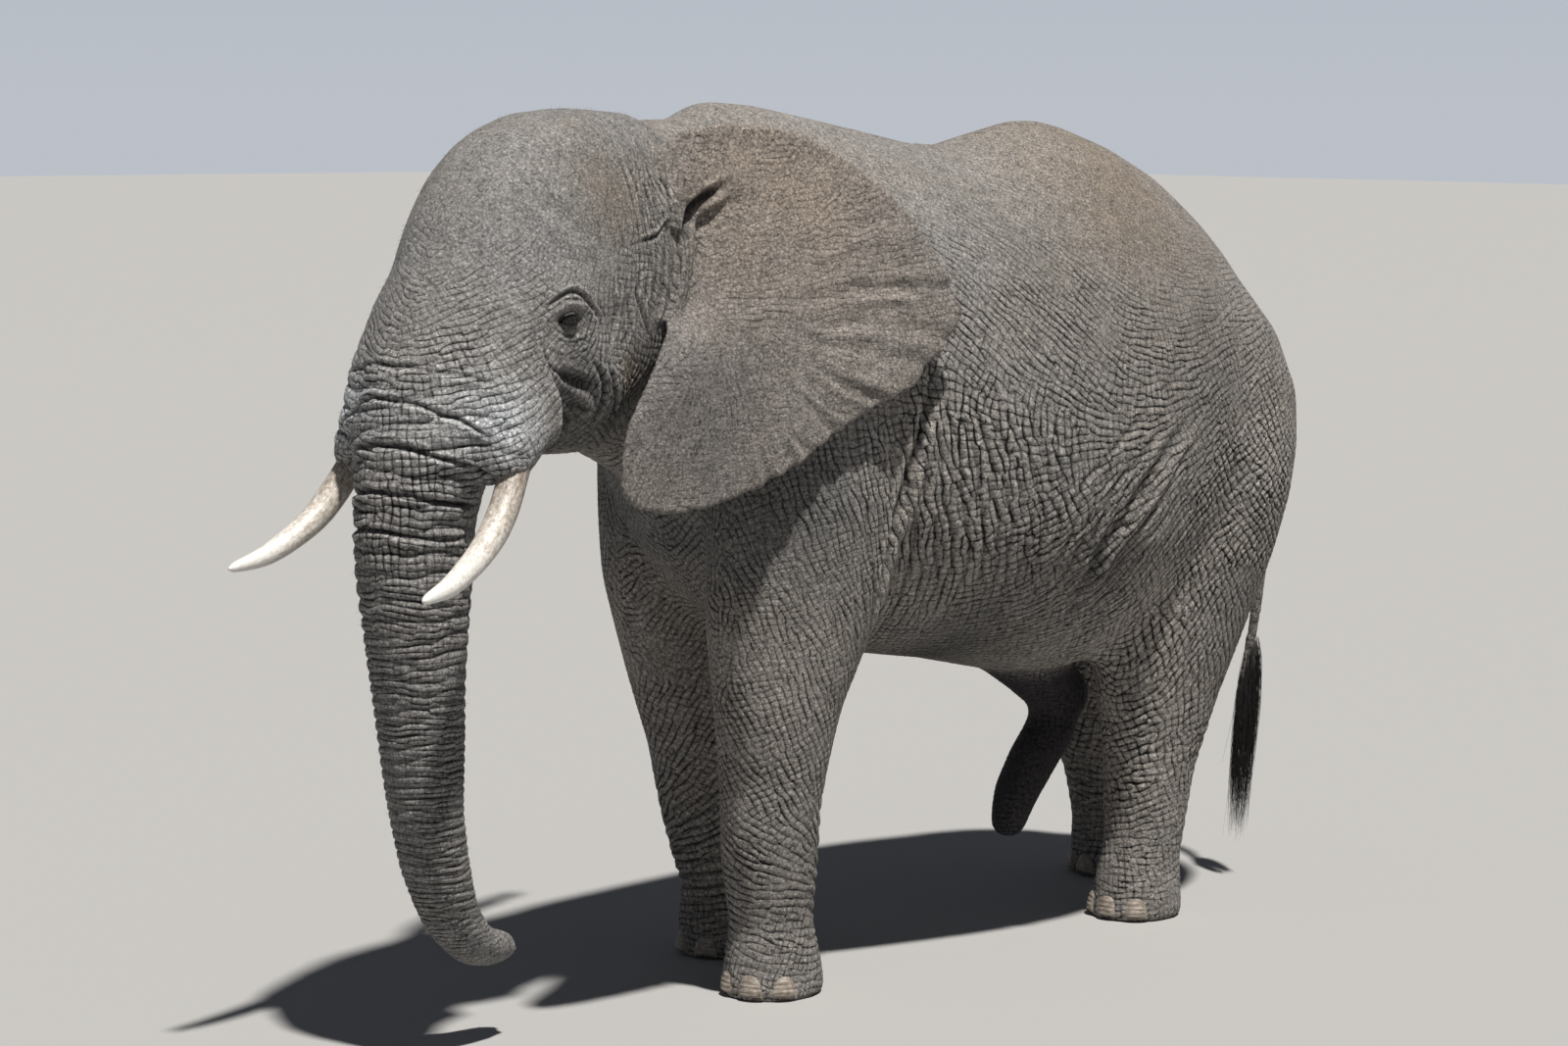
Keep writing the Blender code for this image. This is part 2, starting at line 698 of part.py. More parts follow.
def drop_crumbs(obj):
    """Keep only the largest loose part of an object."""
    bm = bmesh.new()
    bm.from_mesh(obj.data)
    sizes = [len(island) for island in islands(bm)]
    if len(sizes) > 1:
        obj.data = only_island(bm, sizes.index(max(sizes)))
    bm.free()


def separated(obj, places, collection):
    """The loose parts of an object, each named by the nearest of the named places."""
    bm = bmesh.new()
    bm.from_mesh(obj.data)
    pieces = {}
    for index, island in enumerate(islands(bm)):
        centre = sum((vert.co for vert in island), Vector()) / len(island)
        name = min(places, key=lambda key: (Vector(places[key]) - centre).length)
        pieces[name] = new_object(name, only_island(bm, index), collection, "skin")
    bm.free()
    bpy.data.objects.remove(obj)
    return pieces


def decimate(obj, triangles):
    """Thin an object's mesh out to about so many triangles."""
    obj.modifiers.new("triangles", "TRIANGULATE")
    apply_modifiers(obj)
    modifier = obj.modifiers.new("decimate", "DECIMATE")
    modifier.ratio = triangles / len(obj.data.polygons)
    apply_modifiers(obj)


def centre_on_floor(objects):
    """Move objects so that the box round them all stands on the origin with the middle of its base."""
    corners = np.array([vert.co for obj in objects for vert in obj.data.vertices])
    low, high = corners.min(axis=0), corners.max(axis=0)
    shift = Matrix.Translation((-(low[0] + high[0]) / 2, -(low[1] + high[1]) / 2, -low[2]))
    for obj in objects:
        obj.data.transform(shift)


def flatten_soles(obj):
    """Cut the feet off level with the ground."""
    bm = bmesh.new()
    bm.from_mesh(obj.data)
    cut_edges = bmesh.ops.bisect_plane(bm, geom=bm.verts[:] + bm.edges[:] + bm.faces[:], plane_co=(0, 0, 0),
                                       plane_no=(0, 0, 1), clear_inner=True)["geom_cut"]
    bmesh.ops.holes_fill(bm, edges=[item for item in cut_edges if isinstance(item, bmesh.types.BMEdge)], sides=0)
    bm.to_mesh(obj.data)
    bm.free()


def slits():
    """The thin cuts that part the flesh."""
    turned = head_matrix()
    meshes = [slit_mesh((0, -1.51, 2.50), *NECK_SLIT)]
    for centre, slope, half_width, half_height in HEAD_SLITS:
        mesh = slit_mesh(centre, slope, half_width, half_height)
        mesh.transform(turned)
        meshes.append(mesh)
    for kind, heights in LIMB_SLITS.items():
        rows = FORELIMB if kind == "fore" else HINDLIMB
        for side_name, side in SIDES.items():
            for height in heights:
                y = (rows[-1][1] + rows[-1][2]) / 2 + STRIDE[kind, side_name] * (1 - height / STRIDE_HEIGHT[kind])
                out = np.interp(height, [row[0] for row in rows[::-1]], [row[3] for row in rows[::-1]])
                meshes.append(slit_mesh((out * side, y, height), 0, min(out - 0.02, 0.3), 0.42))
    return meshes


def main():
    for obj in list(bpy.data.objects):
        bpy.data.objects.remove(obj)
    collection = bpy.data.collections.new("elephant")
    cutters = bpy.data.collections.new("cutters")
    for made in (collection, cutters):
        bpy.context.scene.collection.children.link(made)
    barrel = across_loft(BARREL, BACK_ROUNDNESS, BELLY_ROUNDNESS)
    neck = across_loft(NECK, 2.0, 2.0)
    flesh = melt([barrel, neck] + limb_meshes() + head_meshes(), "flesh", collection)
    decimate(flesh, FLESH_TRIANGLES)
    tree = flesh_tree(flesh)
    flatten_soles(flesh)
    for mesh in slits():
        cut(flesh, mesh, cutters)
    pieces = separated(flesh, PLACES, collection)
    added = {}

    def add(name, mesh, slot):
        """A piece of its own, let into the flesh that it touches."""
        obj = new_object(name, outward(mesh), collection, slot)
        for other in pieces.values():
            if boxes_meet(obj, other):
                cut(other, grown(obj.data), cutters)
                drop_crumbs(other)
        added[name] = obj

    for piece in pieces.values():
        tidy(piece)
    jaw = tube(JAW, sides=12, steps=1)
    jaw.transform(head_matrix())
    add("lower_jaw", jaw, "skin")
    for side_name, side in SIDES.items():
        add("ear_" + side_name, ear_mesh(tree, side), "ear_skin")
        add("eye_" + side_name, eye_mesh(tree, side), "eye")
        tusk = tube(tusk_rows(side_name), sides=8, steps=2)
        tusk.transform(head_matrix())
        add("tusk_" + side_name, tusk, "ivory")
        for kind in LIMB_SLITS:
            for number, mesh in enumerate(nail_meshes(tree, kind, side_name), 1):
                add(f"nail_{kind}_{side_name}_{number}", mesh, "nail")
    add("tail", tube(TAIL, sides=8, steps=1), "skin")
    add("sheath", tube(SHEATH, sides=12, steps=1), "skin")
    pieces["sheath"] = added["sheath"]
    pieces["tail"] = added["tail"]
    add("lowered_organ", tube(ORGAN, sides=12, steps=1), "bare_skin")
    add("tail_tuft", tube(TUFT, sides=8, steps=1), "tail_hair")
    centre_on_floor(collection.objects)


main()
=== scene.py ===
"""Looks of the bull African bush elephant: one wrinkled hide over the solids, eyes, tusks, nails and hair.

Metres, +Z up, the bull faces -Y and its left side is +X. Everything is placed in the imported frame. The head's
features are given in the head's own frame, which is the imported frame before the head's turn to the left.
"""
import math

import bpy
import numpy as np
from mathutils import Matrix, Vector
from mathutils.bvhtree import BVHTree
from mathutils.kdtree import KDTree


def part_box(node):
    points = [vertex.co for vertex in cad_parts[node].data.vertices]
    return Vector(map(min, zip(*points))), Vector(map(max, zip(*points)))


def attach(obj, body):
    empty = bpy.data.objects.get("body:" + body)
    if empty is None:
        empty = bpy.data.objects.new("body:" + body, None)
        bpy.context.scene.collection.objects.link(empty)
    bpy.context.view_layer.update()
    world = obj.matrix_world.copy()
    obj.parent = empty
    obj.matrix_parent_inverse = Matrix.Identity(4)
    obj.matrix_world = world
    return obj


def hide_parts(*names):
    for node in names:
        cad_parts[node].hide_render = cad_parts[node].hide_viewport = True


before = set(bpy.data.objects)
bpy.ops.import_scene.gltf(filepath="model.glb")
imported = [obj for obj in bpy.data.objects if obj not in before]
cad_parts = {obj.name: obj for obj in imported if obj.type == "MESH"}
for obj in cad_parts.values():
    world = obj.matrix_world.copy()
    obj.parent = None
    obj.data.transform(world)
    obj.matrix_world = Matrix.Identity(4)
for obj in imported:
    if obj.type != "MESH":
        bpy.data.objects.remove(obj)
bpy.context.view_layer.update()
SEED = 7
SIDES = {"left": 1, "right": -1}
FAR = 9.0  # beyond any reach on the bull
FAINT = 1e-6  # a weight that keeps a mean defined where nothing else has any

# Camera, which matches the photograph's view
CAMERA_PLACE = (10.062, -9.849, 3.2)
CAMERA_AZIMUTH = math.radians(46)
CAMERA_PITCH = math.radians(6.32)
CAMERA_ROLL = math.radians(0.36)
CAMERA_LENS = 87.75  # on a sensor 36 mm wide

# The head is turned to the left about the neck
HEAD_TURN = math.radians(11)
HEAD_PIVOT = np.array((0.002, -0.739, 2.6))

# Nodes of flesh that one hide replaces, by region
REGIONS = {
    "body": ["torso", "neck"],
    "head": ["head", "lower_jaw"],
    "trunk": ["trunk_root", "trunk_upper", "trunk_middle", "trunk_tip"],
    "leg": [f"{part}_{side}" for part in ("foreleg", "forefoot", "hindleg", "hindfoot") for side in SIDES],
    "ear": ["ear_left", "ear_right"],
    "tail": ["tail"],
    "organ": ["sheath", "lowered_organ"],
}

# Meshing of the hide
GROWTH = 0.002  # of each node, which closes the cuts between them
COARSE_VOXEL = 0.026
THIN_VOXEL = 0.009  # for ears and tail
FINE_VOXEL = 0.0086  # at DENSE_REFERENCE, finer towards DENSE_CENTRE
DENSE_CENTRE = np.array((6.0, -12.0, 3.0))
DENSE_REFERENCE = np.array((0.5, -0.5, 2.2))
ROUNDING = (25, 0.6, 1.04)  # rounds, rate and way back of the smoothing of the coarse skins
FINE_ROUNDS = 4  # of smoothing of the fine hide
EAR_FILLET = np.array((0.33, -1.20, 2.98))  # where the ear's upper edge meets the head, in the head's frame
FILLET_REACH = 0.17
FILLET_ROUNDS = 60
GRID_CELL = 0.03  # of the map of regions
SPOTS_PER_AREA = 6000  # on a square metre of each node, for that map
HALVES_PART = 0.6  # y at which the front and rear charts of the hide's texture map part
CHART_GAP = 0.02  # between its charts
PLANE = np.array(((1, 2), (0, 2), (0, 1)))  # the axes across each axis
LENS_PUSH = 0.09  # how far each eye's surroundings are spread while the hide is meshed, for finer lids
LENS_REACH = 0.05

# Stage
SUN_FROM = (0.72, -0.20, 2.0)
SUN_STRENGTH = 5.7
SUN_ANGLE = math.radians(2.5)
SUN_COLOUR = (1.0, 0.975, 0.94)
FLOOR_COLOUR = (0.33, 0.325, 0.315, 1)
SKY_COLOURS = ((0.0, (0.50, 0.53, 0.58)), (0.05, (0.46, 0.50, 0.56)), (0.18, (0.085, 0.095, 0.115)))

# Wrinkles of the body's sides: y, z; then for two families of lines that cross, the angle of the lines from
# rearwards towards up and their depth in mm; and the spacing in cm
BODY_WRINKLES = (
    (-0.60, 3.10, 180, 0.4, 100, 0.3, 2.0),
    (0.20, 3.00, 160, 0.5, 80, 0.4, 2.0),
    (0.60, 2.80, 150, 0.7, 70, 0.4, 2.2),
    (1.10, 2.85, 145, 0.35, 60, 0.25, 2.2),
    (1.60, 2.60, 180, 0.5, 90, 0.35, 2.4),
    (0.35, 2.36, 131, 3.0, 55, 0.7, 2.9),
    (0.72, 2.31, 126, 2.8, 45, 0.7, 2.8),
    (0.93, 2.02, 161, 3.4, 71, 2.0, 2.9),
    (1.48, 2.17, 195, 2.6, 105, 1.2, 2.7),
    (2.10, 2.30, 205, 2.0, 110, 1.4, 2.4),
    (1.15, 1.84, 216, 4.0, 123, 0.8, 3.0),
    (1.05, 1.62, 228, 4.0, 130, 0.7, 3.0),
    (1.66, 1.82, 210, 4.2, 140, 4.2, 3.0),
    (1.30, 1.22, 239, 3.0, 118, 3.0, 2.9),
    (0.70, 1.55, 234, 4.0, 140, 1.2, 3.0),
    (0.46, 1.77, 190, 2.2, 112, 4.0, 3.2),
    (0.23, 1.78, 185, 2.0, 104, 4.5, 3.5),
    (0.02, 1.83, 180, 2.0, 101, 4.5, 3.5),
    (0.35, 1.19, 190, 2.4, 100, 1.2, 2.6),
    (0.90, 1.10, 205, 2.4, 110, 1.0, 2.6),
    (-0.11, 1.67, 200, 1.0, 118, 2.6, 2.2),
    (-0.63, 1.50, 195, 1.0, 125, 2.0, 2.2),
    (-0.40, 2.40, 180, 1.0, 100, 2.2, 2.6),
    (-0.90, 2.40, 180, 1.0, 95, 3.0, 3.0),
    (-1.00, 1.70, 185, 1.4, 95, 2.6, 2.8),
)
# The same of the head and trunk in the head's frame; angles from downwards towards rear
HEAD_WRINKLES = (
    (-1.30, 3.10, 120, 0.15, 30, 0.15, 2.2),
    (-1.75, 2.95, 155, 0.25, 75, 0.10, 2.5),
    (-2.00, 2.72, 120, 0.45, 45, 0.20, 2.5),
    (-2.04, 2.55, 115, 1.0, 45, 0.35, 2.4),
    (-1.88, 2.52, 112, 1.5, 45, 0.9, 2.4),
    (-2.00, 2.35, 112, 1.9, 45, 0.8, 2.4),
    (-2.14, 2.29, 90, 2.4, 5, 1.2, 2.7),
    (-2.15, 2.10, 86, 2.6, 0, 2.2, 2.8),
    (-2.18, 1.90, 82, 3.0, 0, 2.4, 2.8),
    (-1.92, 2.18, 137, 1.0, 55, 0.4, 2.3),
    (-2.04, 2.05, 121, 1.1, 40, 0.5, 2.3),
    (-1.45, 2.50, 175, 2.2, 85, 0.8, 2.3),
    (-1.21, 2.85, 194, 2.2, 100, 0.7, 2.3),
    (-1.20, 2.60, 186, 2.6, 95, 1.0, 2.3),
    (-1.60, 2.75, 165, 0.4, 75, 0.25, 2.4),
    (-1.55, 2.95, 165, 0.25, 75, 0.15, 2.4),
    (-1.40, 2.10, 150, 2.2, 60, 1.6, 2.4),
    (-2.10, 1.55, 90, 2.6, 0, 0.8, 2.2),
    (-2.08, 1.10, 90, 2.4, 0, 0.5, 1.9),
    (-1.98, 0.60, 92, 2.2, 0, 0.4, 1.8),
    (-1.70, 0.32, 100, 1.4, 10, 0.6, 1.8),
)
# The same of the legs: y, z; angles from downwards towards rear
LEG_WRINKLES = (
    (-0.30, 1.50, 305, 1.6, 215, 2.0, 2.4),
    (-0.30, 1.10, 292, 1.6, 210, 2.4, 2.4),
    (-0.30, 0.80, 285, 1.6, 208, 2.6, 2.4),
    (-0.30, 0.58, 305, 0.8, 235, 3.2, 2.6),
    (-0.30, 0.35, 350, 0.8, 266, 3.2, 2.6),
    (-0.30, 0.12, 350, 1.8, 270, 1.8, 2.2),
    (1.60, 1.30, 325, 3.0, 208, 3.0, 2.8),
    (1.70, 0.95, 290, 2.4, 205, 3.0, 2.8),
    (1.70, 0.65, 284, 3.0, 200, 2.0, 3.0),
    (1.80, 0.35, 274, 3.2, 192, 1.0, 2.8),
    (1.80, 0.12, 270, 1.8, 190, 1.8, 2.2),
)
TAIL_WRINKLES = ((2.40, 1.50, 270, 1.4, 200, 1.2, 1.6),)
ORGAN_WRINKLES = ((1.20, 0.70, 270, 1.8, 190, 1.2, 2.0),)
EAR_ROOT = (-1.15, 2.50)  # where the ear's long folds come from, y and z in the head's frame
EAR_WRINKLES = (0.75, 0.35, 2.4)  # depths in mm along and across the long folds, and spacing in cm
WRINKLE_DEPTH = 2.1  # on all depths of wrinkles
FOLD_DEPTH = 1.7  # on all depths of heavy folds
NORMAL_ROUNDS = 12  # of smoothing of the directions in which relief is pressed
WRINKLE_CELL = 0.055  # in which a wave of wrinkles is one plane wave
FOLD_CELL = 0.15
PLAIN_SPACING = 5  # in cm, where there are no heavy folds
PHASOR_ROUNDS = 2  # of cells laid over one another
CALM_REACH = (0.035, 0.09)  # from the middle of an eye, without wrinkles and with all of them

# Ear in the head's frame: height against the front edge's place, and how far it lies further back
EAR_FRONT = ((1.95, 2.10, 2.28, 2.42, 2.55, 2.75, 2.98), (-1.57, -1.54, -1.45, -1.34, -1.28, -1.26, -1.22))
EAR_NOTCH = ((2.12, 2.26, 2.42, 2.55, 2.66, 2.74, 2.81), (0, 0.05, 0.09, 0.11, 0.13, 0.14, 0))
EAR_FOLDS = (0.013, 0.013)  # depths of the long folds and of the rim's scallops
EAR_CELL = 0.012  # of the map of the ear's middle surface
EAR_MARGIN = 0.3  # of that map round the ear
EAR_IRONING = 70  # rounds of blur
EAR_SLANT = 0.45  # rise rearwards of the lines along which the front edge's shape fades out
EAR_LIFT = 0.028  # of the ear's middle surface from the head behind it, along the front edge

# Creases of the head's sides: width and depth in mm, lean towards the side on the line's left, and then
# y, z along the crease
HEAD_CREASES = (
    (8, 9, 0.5, ((-1.87, 2.49), (-1.83, 2.54), (-1.78, 2.57), (-1.72, 2.58), (-1.65, 2.55), (-1.59, 2.49),
                 (-1.55, 2.43))),
    (5, 4, 0, ((-1.66, 2.56), (-1.59, 2.53), (-1.54, 2.47), (-1.52, 2.40))),
    (5, 5, -0.3, ((-1.82, 2.50), (-1.78, 2.535), (-1.72, 2.545), (-1.66, 2.525), (-1.62, 2.49))),
    (4, 4, 0.3, ((-1.82, 2.46), (-1.77, 2.42), (-1.71, 2.41), (-1.65, 2.43), (-1.62, 2.46))),
    (5, 4, 0.3, ((-1.86, 2.43), (-1.77, 2.38), (-1.69, 2.37), (-1.62, 2.41))),
    (7, 7, 0, ((-1.90, 2.45), (-1.88, 2.42), (-1.83, 2.35), (-1.78, 2.31), (-1.72, 2.27))),
    (18, 20, -0.9, ((-1.84, 2.36), (-1.80, 2.29), (-1.78, 2.20), (-1.79, 2.12), (-1.82, 2.04))),
    (17, -17, 0, ((-1.73, 2.20), (-1.68, 2.215), (-1.63, 2.19), (-1.605, 2.14), (-1.65, 2.13))),
    (16, 32, 0, ((-1.75, 2.14), (-1.70, 2.14), (-1.66, 2.11), (-1.65, 2.05))),
    (16, 20, 0, ((-1.78, 2.33), (-1.73, 2.28), (-1.68, 2.26), (-1.62, 2.25))),
    (9, 17, 0.2, ((-1.66, 2.35), (-1.60, 2.27), (-1.565, 2.18), (-1.565, 2.09))),
    (9, 16, 0.2, ((-1.57, 2.36), (-1.53, 2.27), (-1.49, 2.17), (-1.49, 2.09))),
    (8, 14, 0.2, ((-1.48, 2.37), (-1.45, 2.28), (-1.42, 2.17))),
    (9, 10, 0.2, ((-1.54, 2.60), (-1.50, 2.52), (-1.49, 2.43), (-1.56, 2.35))),
    (9, 9, 0.2, ((-1.47, 2.60), (-1.44, 2.50), (-1.43, 2.42), (-1.47, 2.36))),
    (9, 9, 0.2, ((-1.40, 2.62), (-1.36, 2.52), (-1.36, 2.41), (-1.40, 2.33))),
    (9, 9, 0.2, ((-1.33, 2.60), (-1.29, 2.50), (-1.29, 2.40))),
    (30, 6, 0.2, ((-1.76, 2.90), (-1.68, 2.81), (-1.62, 2.72))),
)
# The same along the ear's root, where its front edge folds over and comes free
EAR_CREASES = (
    (16, 30, 0.2, ((-0.95, 2.925), (-1.00, 2.895), (-1.045, 2.86), (-1.08, 2.81), (-1.10, 2.76),
                   (-1.11, 2.70))),
    (9, 15, 0.3, ((-1.18, 2.74), (-1.20, 2.66), (-1.21, 2.57), (-1.24, 2.48), (-1.30, 2.38))),
    (8, 11, 0.2, ((-1.23, 2.75), (-1.25, 2.66), (-1.27, 2.56), (-1.30, 2.46))),
    (7, 10, 0.2, ((-1.29, 2.72), (-1.31, 2.64), (-1.32, 2.54), (-1.36, 2.45))),
    (7, 8, 0.2, ((-1.35, 2.73), (-1.37, 2.64), (-1.38, 2.55))),
    (7, 11, 0.4, ((-1.36, 2.735), (-1.30, 2.75), (-1.24, 2.755), (-1.18, 2.775), (-1.13, 2.80))),
    (6, 8, 0, ((-1.39, 3.02), (-1.37, 2.92), (-1.36, 2.78))),
    (6, 8, 0, ((-1.34, 3.02), (-1.32, 2.92), (-1.32, 2.78))),
    (6, 9, 0, ((-1.29, 3.01), (-1.27, 2.91), (-1.27, 2.78))),
    (6, 9, 0, ((-1.24, 3.00), (-1.22, 2.91), (-1.22, 2.79))),
    (6, 9, 0, ((-1.19, 2.97), (-1.17, 2.90), (-1.165, 2.81))),
)
# Grooves over the root of the trunk: height in the middle, drop at the sides, width and depth in mm
ROOT_GROOVES = (
    (2.34, 0.05, 7, 6),
    (2.235, 0.11, 8, 12),
    (2.08, 0.09, 9, 15),
    (1.935, 0.10, 9, 14),
    (1.80, 0.06, 8, 12),
)
# Creases of the body's sides, as those of the head, with how far back the right side's lie
BODY_CREASES = (
    (22, 22, 0.2, 0.16, ((0.03, 2.35), (-0.05, 2.12), (-0.12, 1.82), (-0.15, 1.61), (-0.18, 1.43),
                         (-0.21, 1.24))),
    (30, 17, 0.3, 0.35, ((1.42, 2.10), (1.18, 1.93), (0.96, 1.69), (0.84, 1.53), (0.80, 1.36), (0.88, 1.12))),
    (12, 7, 0.2, 0.35, ((1.30, 2.10), (1.06, 1.97), (0.84, 1.78), (0.66, 1.57), (0.56, 1.42))),
    (12, 7, 0.2, 0.35, ((1.50, 2.02), (1.24, 1.85), (1.06, 1.66), (0.95, 1.47))),
    (12, 7, 0.1, 0.35, ((1.10, 2.12), (0.88, 1.98), (0.68, 1.80), (0.52, 1.60))),
)
MIDLINE_GAP = 0.12  # no crease of the sides lies nearer to the bull's middle plane
SIDE_REACH = 0.022  # within which the outermost skin is looked for
SIDE_POINTS = 400  # or so many of the nearest points, where none lies within it
PATH_STEP = 0.004  # along a crease
PATH_ROUNDS = 50  # of smoothing of a crease's line
# Lumps pushed out of the head: middle, reach and shift, in the head's frame
LUMPS = (
    ((0.36, -1.88, 2.13), 0.085, (0.012, 0.035, 0.0)),
    ((0.37, -1.86, 2.26), 0.07, (0.006, 0.020, 0.0)),
    ((0.30, -1.96, 2.01), 0.06, (0.012, 0.020, -0.012)),
)
# Trunk's end in the head's frame: middle of its tip, its direction and the way to the upper finger
TIP_MIDDLE = np.array((0.002, -1.60, 0.318))
TIP_WAY = np.array((0.0, 0.985, -0.174))
TIP_UP = np.array((0.0, 0.174, 0.985))
UPPER_FINGER = 0.050  # how far it reaches beyond the tip
LOWER_FINGER = 0.028
NOSTRIL_DEPTH = 0.055
# Tusk in the head's frame: x, y, z and radius, from the root to the tip
TUSK = (
    (0.336, -1.950, 2.050, 0.046),
    (0.342, -1.989, 2.000, 0.049),
    (0.362, -2.079, 1.870, 0.050),
    (0.377, -2.189, 1.765, 0.046),
    (0.394, -2.359, 1.672, 0.036),
    (0.409, -2.500, 1.637, 0.019),
    (0.413, -2.535, 1.632, 0.004),
)
TUSK_RINGS, TUSK_SIDES = 150, 56
TUSK_LIFT = {"left": 0.0, "right": 0.04}  # of the tip, which hangs higher on the right
# Tail's middle line where its hair grows, downwards, and the end of the hair
TAIL_LINE = ((0.122, 2.462, 1.00), (0.118, 2.435, 0.90), (0.112, 2.411, 0.80))
HAIR_END = (0.102, 2.376, 0.13)
TAIL_HAIRS = 1100
LASHES = 70  # of each eye
BRISTLES = 3000
FOOT_NAILS = {"fore": 4, "hind": 3}
NAIL_GRID = 25  # points along and across each sheet of a nail

# Eye: the lids' opening as half length, upper and lower height, and its tilt
EYE_OPENING = (0.035, 0.019, 0.015)
EYE_TILT = math.radians(-6)
EYE_BALL = 0.031  # radius
EYE_SHIFT = (0.0, 0.008, 0.010)  # of the eyeball from its solid
LIDS_REACH = 0.12  # from the eyeball's middle
LID_THICKNESS = 0.004
LID_BLEND = 0.008  # over which the lids run into the skin round them

# Colours of the hide's regions
HIDE_COLOURS = {
    "body": (0.215, 0.198, 0.180),
    "head": (0.190, 0.180, 0.169),
    "trunk": (0.188, 0.180, 0.172),
    "leg": (0.215, 0.198, 0.180),
    "ear": (0.196, 0.176, 0.158),
    "tail": (0.13, 0.12, 0.11),
    "organ": (0.030, 0.026, 0.030),
}
HIDE_CRACKS = ((75, 1.5), (210, 0.8))  # fine cracks: cells to the metre, and height between them in mm
HIDE_GRAIN = ((95.0, 3.0, 3.2), (26.0, 4.0, 1.4))  # scale, detail and weight of its noises
# Ramps of the other materials, from one end to the other
EYE_COLOURS = (
    (0.0, (0.004, 0.003, 0.003)),
    (0.19, (0.005, 0.004, 0.003)),
    (0.24, (0.016, 0.008, 0.005)),
    (0.44, (0.010, 0.006, 0.004)),
    (0.52, (0.008, 0.006, 0.005)),
    (0.62, (0.014, 0.010, 0.008)),
)
IVORY_COLOURS = (
    (0.44, (0.76, 0.74, 0.70)),
    (0.56, (0.68, 0.65, 0.60)),
    (0.67, (0.42, 0.37, 0.31)),
    (0.80, (0.13, 0.10, 0.08)),
)
NAIL_COLOURS = ((0.36, (0.10, 0.080, 0.062)), (0.50, (0.235, 0.198, 0.160)), (0.66, (0.40, 0.355, 0.30)))
HAIR_COLOURS = ((0.35, (0.006, 0.005, 0.005)), (0.65, (0.026, 0.022, 0.019)))
# Patches of another tint: kind, y, z, reach and the factor on the colour, or on its red, green and blue
PATCHES = (
    # The paler skin of the cheek and of the trunk's root, brightened further with painted light
    ("head", -2.02, 2.16, 0.13, (1.75, 1.85, 1.95)),
    ("head", -2.14, 2.22, 0.20, (1.30, 1.33, 1.36)),
    ("head", -1.45, 2.88, 0.16, (0.95, 0.88, 0.80)),
    ("head", -1.85, 2.72, 0.20, (1.12, 1.14, 1.17)),
    ("head", -1.40, 2.28, 0.07, (1.15, 1.00, 0.86)),
    # Painted shade in the deep fold where the ear's front edge meets the head
    ("head", -1.22, 2.60, 0.11, 0.50),
    ("front", -1.03, 2.87, 0.035, 0.35),
    ("front", -1.08, 2.82, 0.035, 0.35),
    ("front", -1.11, 2.75, 0.035, 0.45),
    # Painted shade round the mouth's pocket and under the jaw
    ("head", -1.58, 2.00, 0.10, 0.60),
    ("head", -1.70, 2.27, 0.07, 0.50),
    ("head", -1.69, 2.12, 0.07, 0.25),
    ("head", -1.50, 2.15, 0.09, 0.70),
    # Painted shade over the lower trunk
    ("head", -2.05, 0.75, 0.40, 0.85),
    ("body", 1.25, 2.88, 0.38, (0.92, 0.83, 0.74)),
    ("body", 0.60, 1.95, 0.35, (0.96, 0.98, 1.00)),
    ("body", 0.10, 2.80, 0.45, (1.02, 1.04, 1.06)),
    ("body", 0.70, 2.45, 0.35, 0.85),
    ("body", 1.45, 2.18, 0.32, 0.72),
    # Painted shade under the belly and in the hollow in front of the thigh
    ("body", 0.44, 1.12, 0.24, (0.42, 0.43, 0.44)),
    ("body", 0.85, 1.48, 0.18, 0.55),
    # Painted shade on the shoulder under the ear
    ("body", -0.62, 1.78, 0.28, (0.55, 0.58, 0.62)),
    ("body", 1.38, 1.26, 0.26, (1.45, 1.42, 1.40)),
    ("body", 1.42, 0.62, 0.25, (1.30, 1.28, 1.26)),
    ("body", 1.86, 1.85, 0.24, 1.45),
    ("body", 0.25, 1.60, 0.18, 1.20),
    ("body", -0.62, 1.20, 0.26, (1.22, 1.20, 1.18)),
    ("body", -0.30, 0.35, 0.25, 0.80),
    ("ear", -0.75, 2.90, 0.34, (1.26, 1.16, 1.06)),
    ("ear", -1.30, 2.20, 0.34, (0.68, 0.69, 0.72)),
)
# The regions that each kind of patch tints; "front" lies where the ear's front edge meets head and neck, and
# its patches are painted shade in the fold there
TINTED_WITH = {
    "body": ("body", "leg"),
    "head": ("head", "trunk"),
    "ear": ("ear",),
    "front": ("head", "ear", "body"),
}

